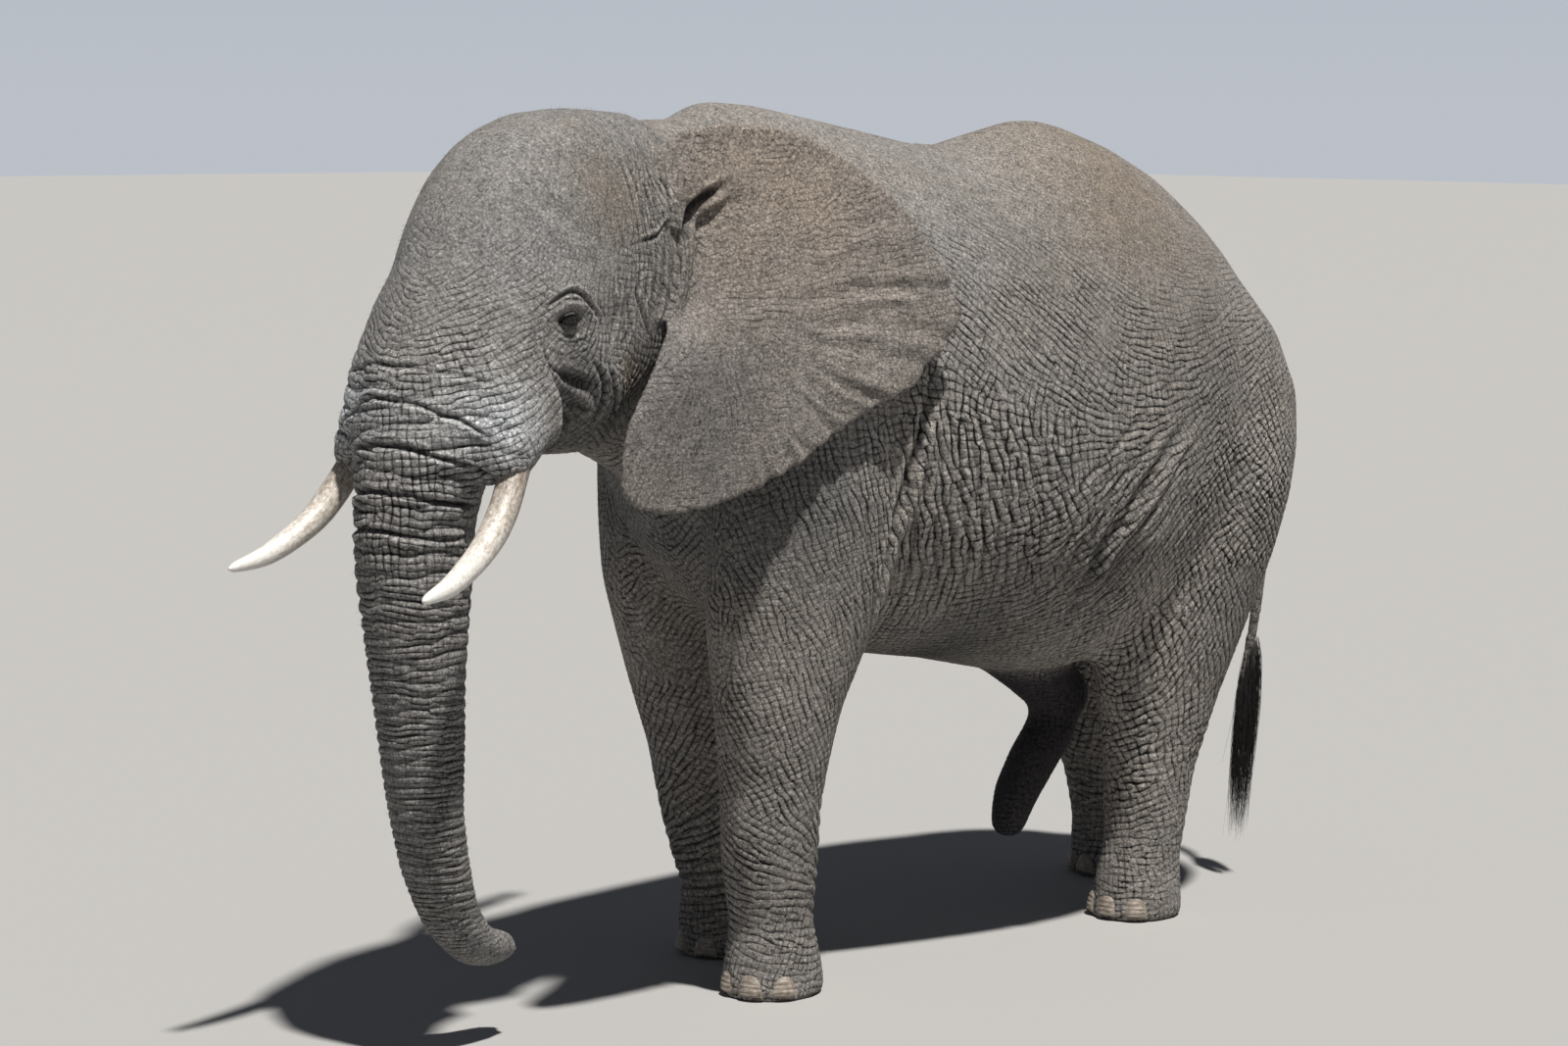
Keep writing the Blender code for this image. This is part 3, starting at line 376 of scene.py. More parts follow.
# Heavy folds: region, y, z, reach, angle as above, spacing in cm, depth in mm
FOLDS = (
    ("body", 0.02, 1.80, 0.30, 101, 7.5, 13),
    ("body", 0.25, 1.75, 0.26, 104, 7.0, 11),
    ("body", 0.48, 1.70, 0.22, 112, 6.5, 7),
    ("body", 0.75, 1.45, 0.26, 60, 6.5, 9),
    ("body", 1.05, 1.62, 0.26, 45, 6.5, 8),
    ("body", 0.40, 2.25, 0.30, 131, 6.0, 4),
    ("body", 1.60, 1.75, 0.30, 30, 6.0, 4),
    ("body", -0.15, 1.40, 0.22, 110, 6.0, 9),
    ("body", -0.85, 2.30, 0.35, 95, 8.0, 10),
    ("body", 1.20, 1.10, 0.25, 45, 6.0, 6),
    ("leg", -0.30, 0.60, 0.14, 235, 5.5, 10),
    ("leg", -0.30, 0.42, 0.12, 258, 5.5, 13),
    ("leg", -0.30, 0.28, 0.10, 270, 5.0, 10),
    ("leg", 1.75, 0.68, 0.14, 284, 6.0, 7),
    ("leg", 1.80, 0.36, 0.14, 272, 5.5, 11),
    ("head", -1.27, 2.85, 0.17, 190, 4.0, 9),
    ("head", -1.36, 2.55, 0.15, 178, 3.8, 7),
    ("head", -1.95, 2.36, 0.16, 112, 5.0, 4),
    ("head", -2.14, 2.25, 0.12, 87, 9.5, 9),
    ("head", -2.15, 2.05, 0.16, 84, 9.0, 14),
    ("head", -2.16, 1.80, 0.16, 86, 7.5, 16),
    ("head", -2.12, 1.55, 0.16, 90, 5.8, 14),
    ("head", -2.10, 1.25, 0.20, 90, 4.6, 10),
    ("head", -2.06, 0.90, 0.22, 90, 3.8, 8),
    ("head", -1.96, 0.55, 0.22, 92, 3.2, 6),
)


# Meshes as arrays

def node_arrays(names, growth=0.0):
    """Points and triangles of some CAD nodes together, each grown a little to close the cuts between them."""
    points, faces, offset = [], [], 0
    for name in names:
        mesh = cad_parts[name].data
        mesh.calc_loop_triangles()
        co = np.empty(len(mesh.vertices) * 3)
        mesh.vertices.foreach_get("co", co)
        tris = np.empty(len(mesh.loop_triangles) * 3, dtype=int)
        mesh.loop_triangles.foreach_get("vertices", tris)
        co, back = np.unique(np.round(co.reshape(-1, 3), 6), axis=0, return_inverse=True)
        tris = back.reshape(-1)[tris.reshape(-1, 3)]
        points.append(co + point_normals(co, tris) * growth)
        faces.append(tris + offset)
        offset += len(co)
    return np.vstack(points), np.vstack(faces)


def unit(vectors):
    """Rows scaled to length one."""
    return vectors / (np.linalg.norm(vectors, axis=-1, keepdims=True) + 1e-12)


def point_normals(points, faces):
    """Normals at the points of a mesh of triangles or quads."""
    a, b, c, d = (points[faces[:, corner]] for corner in (0, 1, 2, -1))
    of_faces = np.cross(b - a, c - a) if faces.shape[1] == 3 else np.cross(c - a, d - b)
    total = np.zeros((len(points), 3))
    for column in faces.T:
        total += np.stack([np.bincount(column, of_faces[:, axis], len(points)) for axis in range(3)], 1)
    return unit(total)


def mesh_object(name, points, faces, borders=()):
    """An object from arrays of points and faces, with further faces as lists of their corners."""
    mesh = bpy.data.meshes.new(name)
    mesh.vertices.add(len(points))
    mesh.vertices.foreach_set("co", np.asarray(points, dtype=np.float32).ravel())
    sides = faces.shape[1] if len(faces) else 4
    corners = np.concatenate([faces.ravel()] + [np.array(face) for face in borders]).astype(np.int32)
    totals = np.array([sides] * len(faces) + [len(face) for face in borders], dtype=np.int32)
    if len(corners):
        mesh.loops.add(len(corners))
        mesh.loops.foreach_set("vertex_index", corners)
        mesh.polygons.add(len(totals))
        starts = np.concatenate(([0], np.cumsum(totals)[:-1]))
        mesh.polygons.foreach_set("loop_start", starts.astype(np.int32))
        mesh.polygons.foreach_set("loop_total", totals)
        mesh.update(calc_edges=True)
        mesh.polygons.foreach_set("use_smooth", np.ones(len(totals), dtype=bool))
    obj = bpy.data.objects.new(name, mesh)
    bpy.context.scene.collection.objects.link(obj)
    return obj


def evaluated(obj):
    """The mesh of an object as its modifiers leave it; the object is removed."""
    graph = bpy.context.evaluated_depsgraph_get()
    mesh = bpy.data.meshes.new_from_object(obj.evaluated_get(graph))
    bpy.data.objects.remove(obj)
    return mesh


def voxel_remesh(points, faces, size):
    """The closed skin round a mesh, as quads of one size."""
    obj = mesh_object("remesh", points, faces)
    modifier = obj.modifiers.new("remesh", "REMESH")
    modifier.mode = "VOXEL"
    modifier.voxel_size = size
    mesh = evaluated(obj)
    co = np.empty(len(mesh.vertices) * 3, dtype=np.float32)
    mesh.vertices.foreach_get("co", co)
    corners = np.empty(len(mesh.loops), dtype=np.int32)
    mesh.loops.foreach_get("vertex_index", corners)
    bpy.data.meshes.remove(mesh)
    return co.reshape(-1, 3).astype(float), corners.reshape(-1, 4)


def edges_of(faces):
    """The edges of a mesh, each once."""
    pairs = np.concatenate([faces[:, [i, (i + 1) % faces.shape[1]]] for i in range(faces.shape[1])])
    pairs.sort(axis=1)
    codes = np.unique(pairs[:, 0].astype(np.int64) << 32 | pairs[:, 1])
    return np.stack((codes >> 32, codes & 0xFFFFFFFF), 1)


def smoothed(values, edges, rounds, rate=0.5, back=0.0):
    """Values at points moved towards the mean of their neighbours; with back, without shrinking."""
    both = edges.T.ravel()
    other = edges[:, ::-1].T.ravel()
    count = np.bincount(both, minlength=len(values))[:, None]
    rate = np.broadcast_to(np.asarray(rate, dtype=float), (len(values),))[:, None]
    for _ in range(rounds):
        for factor in ((rate, -rate * back) if back else (rate,)):
            total = [np.bincount(both, values[other, axis], len(values)) for axis in range(values.shape[1])]
            values = values + (np.stack(total, 1) / count - values) * factor
    return values


def smoothed_near(points, edges, middle):
    """Points smoothed strongly about one place, to soften where parts meet."""
    near = np.linalg.norm(points - middle, axis=1)
    some = np.flatnonzero(near < FILLET_REACH)
    place = np.full(len(points), -1)
    place[some] = np.arange(len(some))
    inner = place[edges[(place[edges] >= 0).all(axis=1)]]
    rate = 0.5 * step(1.0, 0.5, near[some] / FILLET_REACH)
    points = points.copy()
    points[some] = smoothed(points[some], inner, FILLET_ROUNDS, rate)
    return points


def denser(points):
    """Turn space inside out about a far centre, which makes what is nearer to it larger; it undoes itself."""
    away = points - DENSE_CENTRE
    reference = DENSE_REFERENCE - DENSE_CENTRE
    return DENSE_CENTRE + away * (reference @ reference) / (away * away).sum(axis=1, keepdims=True)


def lens(points, centre, back=False):
    """Spread space about a point, or draw it together again."""
    away = points - centre
    reach = np.linalg.norm(away, axis=1, keepdims=True) + 1e-9
    steps = np.linspace(0, 3, 6001) ** 2
    spread = steps + LENS_PUSH * (1 - np.exp(-steps / LENS_REACH))
    new = np.interp(reach, spread, steps) if back else np.interp(reach, steps, spread)
    return centre + away * new / reach


def lengths_along(line):
    """How far along a line each of its points lies."""
    return np.concatenate(([0], np.cumsum(np.linalg.norm(np.diff(line, axis=0), axis=1))))


def finder_of(places):
    """A search tree over some places."""
    tree = KDTree(len(places))
    for number, place in enumerate(places):
        tree.insert(place, number)
    tree.balance()
    return tree


# Places and fields over the hide

def eye_middle(side_name):
    """The middle of an eyeball."""
    return np.mean([list(corner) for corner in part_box("eye_" + side_name)], axis=0) + EYE_SHIFT


def to_head(points, back=False):
    """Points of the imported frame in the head's own frame, or back."""
    angle = HEAD_TURN if back else -HEAD_TURN
    cos, sin = math.cos(angle), math.sin(angle)
    turn = np.array(((cos, -sin, 0), (sin, cos, 0), (0, 0, 1)))
    return (points - HEAD_PIVOT) @ turn.T + HEAD_PIVOT


def turned_to_head(vectors, back=False):
    """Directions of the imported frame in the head's own frame, or back."""
    return to_head(vectors + HEAD_PIVOT, back) - HEAD_PIVOT


def step(low, high, values):
    """0 below low, 1 above high and a smooth step between; the other way round where low is the larger."""
    t = np.clip((values - low) / (high - low), 0, 1)
    return t * t * (3 - 2 * t)


def hill(values, middle, width):
    """1 at the middle and less away from it."""
    return np.exp(-((values - middle) / width) ** 2)


def nearness(places, middle, reach):
    """1 at a place and less away from it."""
    return np.exp(-((places - middle) ** 2).sum(axis=1) / reach ** 2)


def about_ear_root(head):
    """The way from the ear's root to points in the head's frame, its angle from downwards and its length."""
    away = head[:, 1:] - EAR_ROOT
    return away, np.arctan2(away[:, 0], -away[:, 1]), np.linalg.norm(away, axis=1)


def noise(points, scale, detail, seed):
    """Smooth noise from about -1 to 1, with the given number of hills to the metre."""
    obj = mesh_object("noise", points, np.empty((0, 4), dtype=int))
    group = bpy.data.node_groups.new("noise", "GeometryNodeTree")
    group.interface.new_socket("Geometry", in_out="INPUT", socket_type="NodeSocketGeometry")
    group.interface.new_socket("Geometry", in_out="OUTPUT", socket_type="NodeSocketGeometry")
    start, end, place, shift, texture, store = (group.nodes.new(kind) for kind in (
        "NodeGroupInput", "NodeGroupOutput", "GeometryNodeInputPosition", "ShaderNodeVectorMath",
        "ShaderNodeTexNoise", "GeometryNodeStoreNamedAttribute"))
    shift.inputs[1].default_value = (seed * 3.7, seed * 1.9, seed * 5.3)
    texture.inputs["Scale"].default_value = scale
    texture.inputs["Detail"].default_value = detail
    store.inputs["Name"].default_value = "value"
    for output, socket in (
        (place.outputs[0], shift.inputs[0]),
        (shift.outputs[0], texture.inputs["Vector"]),
        (start.outputs[0], store.inputs["Geometry"]),
        (texture.outputs["Fac"], store.inputs["Value"]),
        (store.outputs[0], end.inputs[0]),
    ):
        group.links.new(output, socket)
    obj.modifiers.new("noise", "NODES").node_group = group
    mesh = evaluated(obj)
    values = np.empty(len(points), dtype=np.float32)
    mesh.attributes["value"].data.foreach_get("value", values)
    bpy.data.meshes.remove(mesh)
    bpy.data.node_groups.remove(group)
    return (values - 0.5) * 4


def blurred(grid, rounds):
    """A grid blurred along each of its axes."""
    for _ in range(rounds):
        for axis in range(grid.ndim):
            grid = (np.roll(grid, 1, axis) + 2 * grid + np.roll(grid, -1, axis)) / 4
    return grid


def cells_near(places):
    """The cells round each place on a grid, one corner after another, with their weights."""
    base = np.floor(places - 0.5).astype(int)
    part = places - 0.5 - base
    for corner in np.ndindex(*(2,) * places.shape[1]):
        yield tuple((base + corner).T), np.prod(np.where(corner, part, 1 - part), axis=1)


def region_shares(points):
    """How much each point belongs to each region, from where the CAD nodes' surfaces lie."""
    rng = np.random.default_rng(SEED)
    low = points.min(axis=0) - 4 * GRID_CELL
    size = np.ceil((points.max(axis=0) - low) / GRID_CELL).astype(int) + 4
    shares = []
    for names in REGIONS.values():
        co, tris = node_arrays(names)
        corners = co[tris]
        first, second = corners[:, 1] - corners[:, 0], corners[:, 2] - corners[:, 0]
        area = np.linalg.norm(np.cross(first, second), axis=1)
        count = int(area.sum() * SPOTS_PER_AREA)
        pick = rng.choice(len(tris), count, p=area / area.sum())
        a, b = rng.random((2, count, 1))
        a, b = np.where(a + b > 1, 1 - a, a), np.where(a + b > 1, 1 - b, b)
        spots = corners[pick, 0] + first[pick] * a + second[pick] * b
        grid = np.zeros(size)
        np.add.at(grid, tuple(((spots - low) / GRID_CELL).astype(int).T), 1)
        grid = blurred(grid, 3)
        value = sum(weight * grid[cell] for cell, weight in cells_near((points - low) / GRID_CELL))
        shares.append(value ** 1.5)
    total = np.sum(shares, axis=0) + 1e-9
    return {name: share / total for name, share in zip(REGIONS, shares)}


def blended(places, table, reach):
    """The columns of a table as they blend at some places; the table's first columns are its own places."""
    table = np.array(table, dtype=float)
    width = places.shape[1]
    total = np.zeros((len(places), table.shape[1] - width))
    weights = np.full(len(places), 1e-9)
    for row in table:
        weight = nearness(places, row[:width], reach)
        total += weight[:, None] * row[width:]
        weights += weight
    return total / weights[:, None]


def phasor(points, across, spacing, cell, seed):
    """Stripes across a field of directions, as a complex number whose angle is the place within a stripe."""
    rng = np.random.default_rng(seed)
    total = np.zeros(len(points), dtype=np.complex64)
    points32 = points.astype(np.float32)
    for _ in range(PHASOR_ROUNDS):
        low = points.min(axis=0) - cell * (1 + rng.random(3))
        size = np.ceil((points.max(axis=0) - low) / cell).astype(int) + 2
        index = ((points - low) / cell).astype(int)
        code = (index[:, 0] * size[1] + index[:, 1]) * size[2] + index[:, 2]
        count = np.bincount(code, minlength=size.prod())
        held = np.flatnonzero(count)
        slot = np.full(size.prod(), -1)
        slot[held] = np.arange(len(held))
        own = slot[code]

        def mean(values):
            sums = [np.bincount(own, values[:, axis], len(held)) for axis in range(values.shape[1])]
            return np.stack(sums, 1) / count[held][:, None]

        middle = mean(points).astype(np.float32)
        facing = unit(mean(across)).astype(np.float32)
        turns = facing * (2 * math.pi / mean(spacing[:, None])).astype(np.float32)
        phase = rng.uniform(0, 2 * math.pi, size.prod())[held].astype(np.float32)
        for offset in np.ndindex(3, 3, 3):
            move = ((offset[0] - 1) * size[1] + offset[1] - 1) * size[2] + offset[2] - 1
            near = slot[code + move]
            mine = np.flatnonzero(near >= 0)
            near = near[mine]
            away = points32[mine] - middle[near]
            weight = 1 - (away * away).sum(axis=1) / cell ** 2
            inside = weight > 0
            mine, near, away, weight = mine[inside], near[inside], away[inside], weight[inside]
            angle = (away * turns[near]).sum(axis=1) + phase[near]
            total[mine] += weight ** 2 * np.exp(1j * angle)
    return total


def pillow(wave, roundness):
    """The profile of a stripe from its complex number, 0 in the crease and 1 on top; and its clearness."""
    place = np.abs(np.angle(wave)) / math.pi
    clear = np.abs(wave)
    return (place * (2 - place)) ** roundness, clear / (clear + 0.35)


def line_field(points, normals, shares, tables, across_midline):
    """Directions across the lines of one family, whose tables give an angle in each region.

    The angle turns from a region's own axis about the normal. The right side mirrors the left one.
    """
    total = np.zeros_like(points)
    for name, share in shares.items():
        in_head = name in ("head", "trunk", "ear")
        places = to_head(points) if in_head else points
        facing = turned_to_head(normals) if in_head else normals.copy()
        side = np.where(places[:, :1] < 0, -1.0, 1.0)
        facing[:, :1] *= side
        axis = (0.0, 1.0, 0.0) if name == "body" else (0.0, 0.0, -1.0)
        first = unit(axis - facing * (facing @ axis)[:, None])
        second = np.cross(facing, first)
        angle = np.radians(tables[name])[:, None]
        across = np.cross(facing, first * np.cos(angle) + second * np.sin(angle))
        across[:, :1] *= side
        if name in across_midline:
            across *= side
        total += share[:, None] * (turned_to_head(across, back=True) if in_head else across)
    return unit(total)


def wrinkle_tables(points):
    """Angle, depth, angle, depth and spacing of the two families of wrinkles, in each region."""
    head = to_head(points)
    tables = {
        "body": blended(points[:, 1:], BODY_WRINKLES, 0.30),
        "head": blended(head[:, 1:], HEAD_WRINKLES, 0.16),
        "leg": blended(points[:, 1:], LEG_WRINKLES, 0.24),
        "tail": blended(points[:, 1:], TAIL_WRINKLES, FAR),
        "organ": blended(points[:, 1:], ORGAN_WRINKLES, FAR),
    }
    tables["trunk"] = tables["head"]
    radial = np.degrees(about_ear_root(head)[1])
    along, over, spacing = np.ones((3, len(points))) * np.array(EAR_WRINKLES)[:, None]
    tables["ear"] = np.stack((radial, along, radial + 90, over, spacing), 1)
    return tables


def fold_field(points, normals, shares):
    """Directions across the heavy folds, with their spacing and depth in metres."""
    head = to_head(points)
    angles = {name: np.zeros(len(points)) for name in shares}
    sums = {name: np.full(len(points), FAINT) for name in shares}
    spacing, depth, total = np.zeros((3, len(points)))
    for region, y, z, reach, angle, gap, deep in FOLDS:
        places = head if region == "head" else points
        weight = nearness(places[:, 1:], (y, z), reach)
        names = ("head", "trunk") if region == "head" else (region,)
        for name in names:
            angles[name] += weight * angle
            sums[name] += weight
        weight = weight * sum(shares[name] for name in names)
        spacing += weight * gap
        depth += weight * deep
        total += weight
    angles = {name: angles[name] / sums[name] for name in angles}
    across = line_field(points, normals, shares, angles, ())
    spacing = (spacing + FAINT * PLAIN_SPACING) / (total + FAINT) / 100
    return across, spacing, depth / (total + FAINT) * np.minimum(total, 1) / 1000


# Relief of the hide

def wrinkled(points, faces, shares):
    """The hide's points with folds and wrinkles pressed in, the waves of both families, and the normals."""
    normals = unit(smoothed(point_normals(points, faces), edges_of(faces), NORMAL_ROUNDS))
    across, spacing, depth = fold_field(points, normals, shares)
    top, clear = pillow(phasor(points, across, spacing, FOLD_CELL, SEED), 0.5)
    calm = calm_places(points)
    moved = points - normals * (FOLD_DEPTH * calm * depth * (1 - top) * clear)[:, None]
    tables = wrinkle_tables(points)
    sway = noise(points, 2.5, 2, 1) * 8 + noise(points, 8.0, 2, 2) * 7
    waves = []
    spacing = sum(shares[name] * tables[name][:, 4] for name in shares) / 100
    for column, widening, midline, seed in ((0, 1.0, ("body",), 11), (2, 1.15, ("head", "trunk"), 12)):
        angles = {name: tables[name][:, column] + sway for name in shares}
        depth = sum(shares[name] * tables[name][:, column + 1] for name in shares) / 1000
        depth *= WRINKLE_DEPTH * calm * np.clip(1 + 0.75 * noise(points, 6.0, 2, seed + 5), 0.12, 2.2)
        depth *= np.clip(1 + 0.65 * noise(points, 24.0, 2, seed + 7), 0.2, 2.2)
        across = line_field(points, normals, shares, angles, midline)
        wave = phasor(points, across, spacing * widening, WRINKLE_CELL, seed)
        top, clear = pillow(wave, 0.6)
        moved -= normals * (depth * (1 - top) * clear)[:, None]
        waves.append(np.stack((wave.real, wave.imag, depth * 1000), 1))
    creased(moved, points, normals, shares)
    grooved(moved, points, normals, shares)
    lidded(moved, points, normals)
    return tipped(moved, points), waves, normals


def calm_places(points):
    """0 at the eyes, where lids take the place of wrinkles, and 1 away from them."""
    calm = np.ones(len(points))
    for side_name in SIDES:
        calm *= step(*CALM_REACH, np.linalg.norm(points - eye_middle(side_name), axis=1))
    return calm


def pressed(points, base, normals, path, width, depth, lean):
    """Points pressed in along a path on the hide, with the skin heaped up beside it."""
    knots = np.array(path)
    low, high = knots.min(axis=0) - 5 * width, knots.max(axis=0) + 5 * width
    some = np.flatnonzero(((base > low) & (base < high)).all(axis=1))
    lengths = lengths_along(knots)
    along = np.linspace(0, lengths[-1], int(lengths[-1] / PATH_STEP) + 2)
    curve = np.stack([np.interp(along, lengths, knots[:, axis]) for axis in range(3)], 1)
    for _ in range(PATH_ROUNDS):
        curve[1:-1] = (curve[:-2] + 2 * curve[1:-1] + curve[2:]) / 4
    nearest, gap = np.zeros(len(some), dtype=int), np.full(len(some), FAR)
    for number, spot in enumerate(curve):
        away = np.linalg.norm(base[some] - spot, axis=1)
        closer = away < gap
        nearest[closer] = number
        gap[closer] = away[closer]
    way = unit(np.gradient(curve, axis=0))[nearest]
    away = base[some] - curve[nearest] + noise(base[some], 12.0, 2, 42)[:, None] * 0.35 * width
    side = (np.cross(way, away) * normals[some]).sum(axis=1)
    ends = np.minimum(along[nearest], lengths[-1] - along[nearest]) / lengths[-1]
    fade = 0.1 + 0.9 * step(0, 0.35, ends)
    beyond = np.abs((away * way).sum(axis=1))
    gap = np.sqrt(gap ** 2 + 3 * beyond ** 2) / width
    shape = -hill(gap, 0, 1) + 0.4 * hill(gap, 2.1, 0.9)
    shape += lean * np.tanh(side / width) * hill(gap, 0, 3)
    points[some] += normals[some] * (depth * fade * shape)[:, None]


def on_side(spots, finder, places, side):
    """Points y, z of a table on the outermost skin of one side; finder lists the hide's points by y and z."""
    found = []
    for y, z in spots:
        near = [index for _, index, _ in finder.find_range((0, y, z), SIDE_REACH)]
        near = near or [index for _, index, _ in finder.find_n((0, y, z), SIDE_POINTS)]
        found.append(places[max(near, key=lambda index: places[index, 0] * side)])
    return np.array(found)


def creased(points, base, normals, shares):
    """All creases drawn one by one, on both sides."""
    y, off_ear = base[:, 1], shares["ear"] < 0.3
    # Each table with whether it is in the head's frame, and the points on which its creases lie
    for table, in_head, own in (
        (HEAD_CREASES, True, off_ear & (y < -0.9)),
        (EAR_CREASES, True, y < -0.8),
        (BODY_CREASES, False, off_ear & (y > -0.4) & (y < 1.8)),
    ):
        places = to_head(base[own]) if in_head else base[own]
        places = places[np.abs(places[:, 0]) > MIDLINE_GAP][::4]
        finder = finder_of(places * (0, 1, 1))
        for side in (1, -1):
            for row in table:
                width, depth, lean, spots = row[0] / 1000, row[1] / 1000, row[2], row[-1]
                if not in_head and side < 0:
                    spots = [(y + row[3] * step(2.2, 1.3, z), z) for y, z in spots]
                path = on_side(spots, finder, places, side)
                path = to_head(path, back=True) if in_head else path
                pressed(points, base, normals, path, width, depth, lean * side)


def grooved(points, base, normals, shares):
    """The deep grooves over the root of the trunk."""
    head = to_head(base)
    facing = turned_to_head(normals)
    front = step(0.35, 0.8, shares["head"] + shares["trunk"]) * step(0.25, -0.1, facing[:, 1])
    front *= step(-1.85, -2.0, head[:, 1])
    some = np.flatnonzero((front > 0) & (head[:, 2] > 1.6) & (head[:, 2] < 2.5))
    wobble = noise(base[some], 6.0, 2, 41) * 0.012
    for height, drop, width, depth in ROOT_GROOVES:
        gap = (head[some, 2] + wobble - height + drop * (head[some, 0] / 0.3) ** 2) / width * 1000
        shape = -hill(gap, 0, 1) + 0.35 * hill(np.abs(gap), 2.2, 1.2)
        fade = front[some] * step(0.36, 0.25, np.abs(head[some, 0]))
        points[some] += normals[some] * (shape * fade * depth / 1000)[:, None]


def lumped(points):
    """Points with the head's lumps pushed out, on both sides."""
    head = to_head(points)
    moved = head.copy()
    for side in (1, -1):
        for middle, reach, shift in LUMPS:
            gap = np.linalg.norm(head - np.array(middle) * (side, 1, 1), axis=1)
            moved += hill(gap, 0, reach)[:, None] * (np.array(shift) * (side, 1, 1))
    return to_head(moved, back=True)


def tipped(points, base):
    """The trunk's end with its two fingers and the nostrils between them."""
    head = to_head(base) - TIP_MIDDLE
    along, up, across = head @ TIP_WAY, head @ TIP_UP, head[:, 0]
    near = step(-0.10, -0.02, along) * step(0.16, 0.12, np.linalg.norm(head, axis=1))
    upper = hill(across, 0, 0.030) * step(0.012, 0.045, up)
    lower = hill(across, 0, 0.040) * step(-0.012, -0.042, up)
    reach = near * (UPPER_FINGER * upper + LOWER_FINGER * lower)
    for side in SIDES.values():
        gap = np.hypot((across - side * 0.026) / 0.017, up / 0.020)
        reach -= near * NOSTRIL_DEPTH * np.exp(-gap ** 4)
    reach *= step(-0.05, 0.01, along)
    return points + turned_to_head(TIP_WAY * reach[:, None], back=True)


def eye_frame(side_name, base, normals):
    """Middle of an eyeball, and the directions rearwards along its slit, up, and out of the head."""
    middle = eye_middle(side_name)
    near = np.linalg.norm(base - middle, axis=1) < 0.07
    out = unit(normals[near].mean(axis=0))
    rear = turned_to_head(np.array(((0.0, math.cos(EYE_TILT), -math.sin(EYE_TILT)),)), back=True)[0]
    rear = unit(rear - out * (rear @ out))
    return middle, rear, np.cross(out, rear) * SIDES[side_name], out


def lidded(points, base, normals):
    """Lids drawn over both eyeballs, with the slit between them pushed in under the ball."""
    length, upper, lower = EYE_OPENING
    for side_name in SIDES:
        middle, rear, up, out = eye_frame(side_name, base, normals)
        away = points - middle
        some = np.flatnonzero(np.linalg.norm(away, axis=1) < LIDS_REACH)
        u, v, w = away[some] @ rear, away[some] @ up, away[some] @ out
        # The skin sinks to the lid, which lies on the ball, in a socket under a brow
        across = np.hypot(u, v)
        shell = EYE_BALL + LID_THICKNESS
        lid = np.sqrt(np.maximum(shell ** 2 - across ** 2, 0))
        socket = -0.007 * hill(across, 0.042, 0.012)
        brow = 0.016 * hill(v + 0.35 * np.abs(u), 0.055, 0.020) * hill(u, 0, 0.07)
        skin = w + socket + brow
        blend = np.clip(0.5 + (lid - skin) / (2 * LID_BLEND), 0, 1)
        height = skin * (1 - blend) + lid * blend + LID_BLEND * blend * (1 - blend)
        height = np.where(across < shell, height, skin)
        # How far a point lies outside the opening
        bow = np.sqrt(np.maximum(1 - (u / length) ** 2, 0))
        edge = np.where(v > 0, v - upper * bow, -v - lower * bow)
        edge = np.where(np.abs(u) < length, edge, np.hypot(np.abs(u) - length, v))
        # Fine folds along the opening, a bag below it, and a thick rim
        ripple = hill(edge, 0.012, 0.012) * np.cos(2 * math.pi * edge / 0.0075)
        bag = hill(v - 6 * u ** 2, -0.036, 0.008) - hill(v - 6 * u ** 2, -0.050, 0.006)
        height += 0.006 * bag * hill(u, 0, 0.045)
        height += 0.0016 * ripple + 0.0012 * hill(edge, 0.003, 0.0025)
        # Inside the opening the skin is pushed in under the ball
        under = np.sqrt(np.maximum(EYE_BALL ** 2 - across ** 2, 0)) - 0.006
        height += (under - height) * step(0.0012, -0.0012, edge)
        points[some] = middle + u[:, None] * rear + v[:, None] * up + height[:, None] * out


# The hide before any fold

def hide_base():
    """Points and quads of the smooth hide."""
    thick = [name for region in ("body", "head", "trunk", "leg", "organ") for name in REGIONS[region]]
    co, tris = node_arrays(REGIONS["head"] + REGIONS["body"])
    behind = BVHTree.FromPolygons(co.tolist(), tris.tolist())
    points, faces, offset = [], [], 0
    skins = [(thick, COARSE_VOXEL)] + [([name], THIN_VOXEL) for name in REGIONS["ear"] + REGIONS["tail"]]
    for names, voxel in skins:
        part, quads = voxel_remesh(*node_arrays(names, GROWTH), voxel)
        part = smoothed(part, edges_of(quads), *ROUNDING)
        if names[0] in REGIONS["ear"]:
            part = shaped_ear(part, SIDES[names[0][4:]], behind)
        points.append(part)
        faces.append(quads + offset)
        offset += len(part)
    left, right = (eye_middle(side_name) for side_name in SIDES)
    points = lens(lens(np.vstack(points), left), right)
    points, faces = voxel_remesh(denser(points), np.vstack(faces), FINE_VOXEL)
    points = lens(lens(denser(points), right, back=True), left, back=True)
    faces = faces[:, ::-1]
    edges = edges_of(faces)
    points = smoothed(points, edges, FINE_ROUNDS)
    for side in SIDES.values():
        points = smoothed_near(points, edges, to_head(np.array((EAR_FILLET * (side, 1, 1),)), back=True)[0])
    return lumped(points), faces


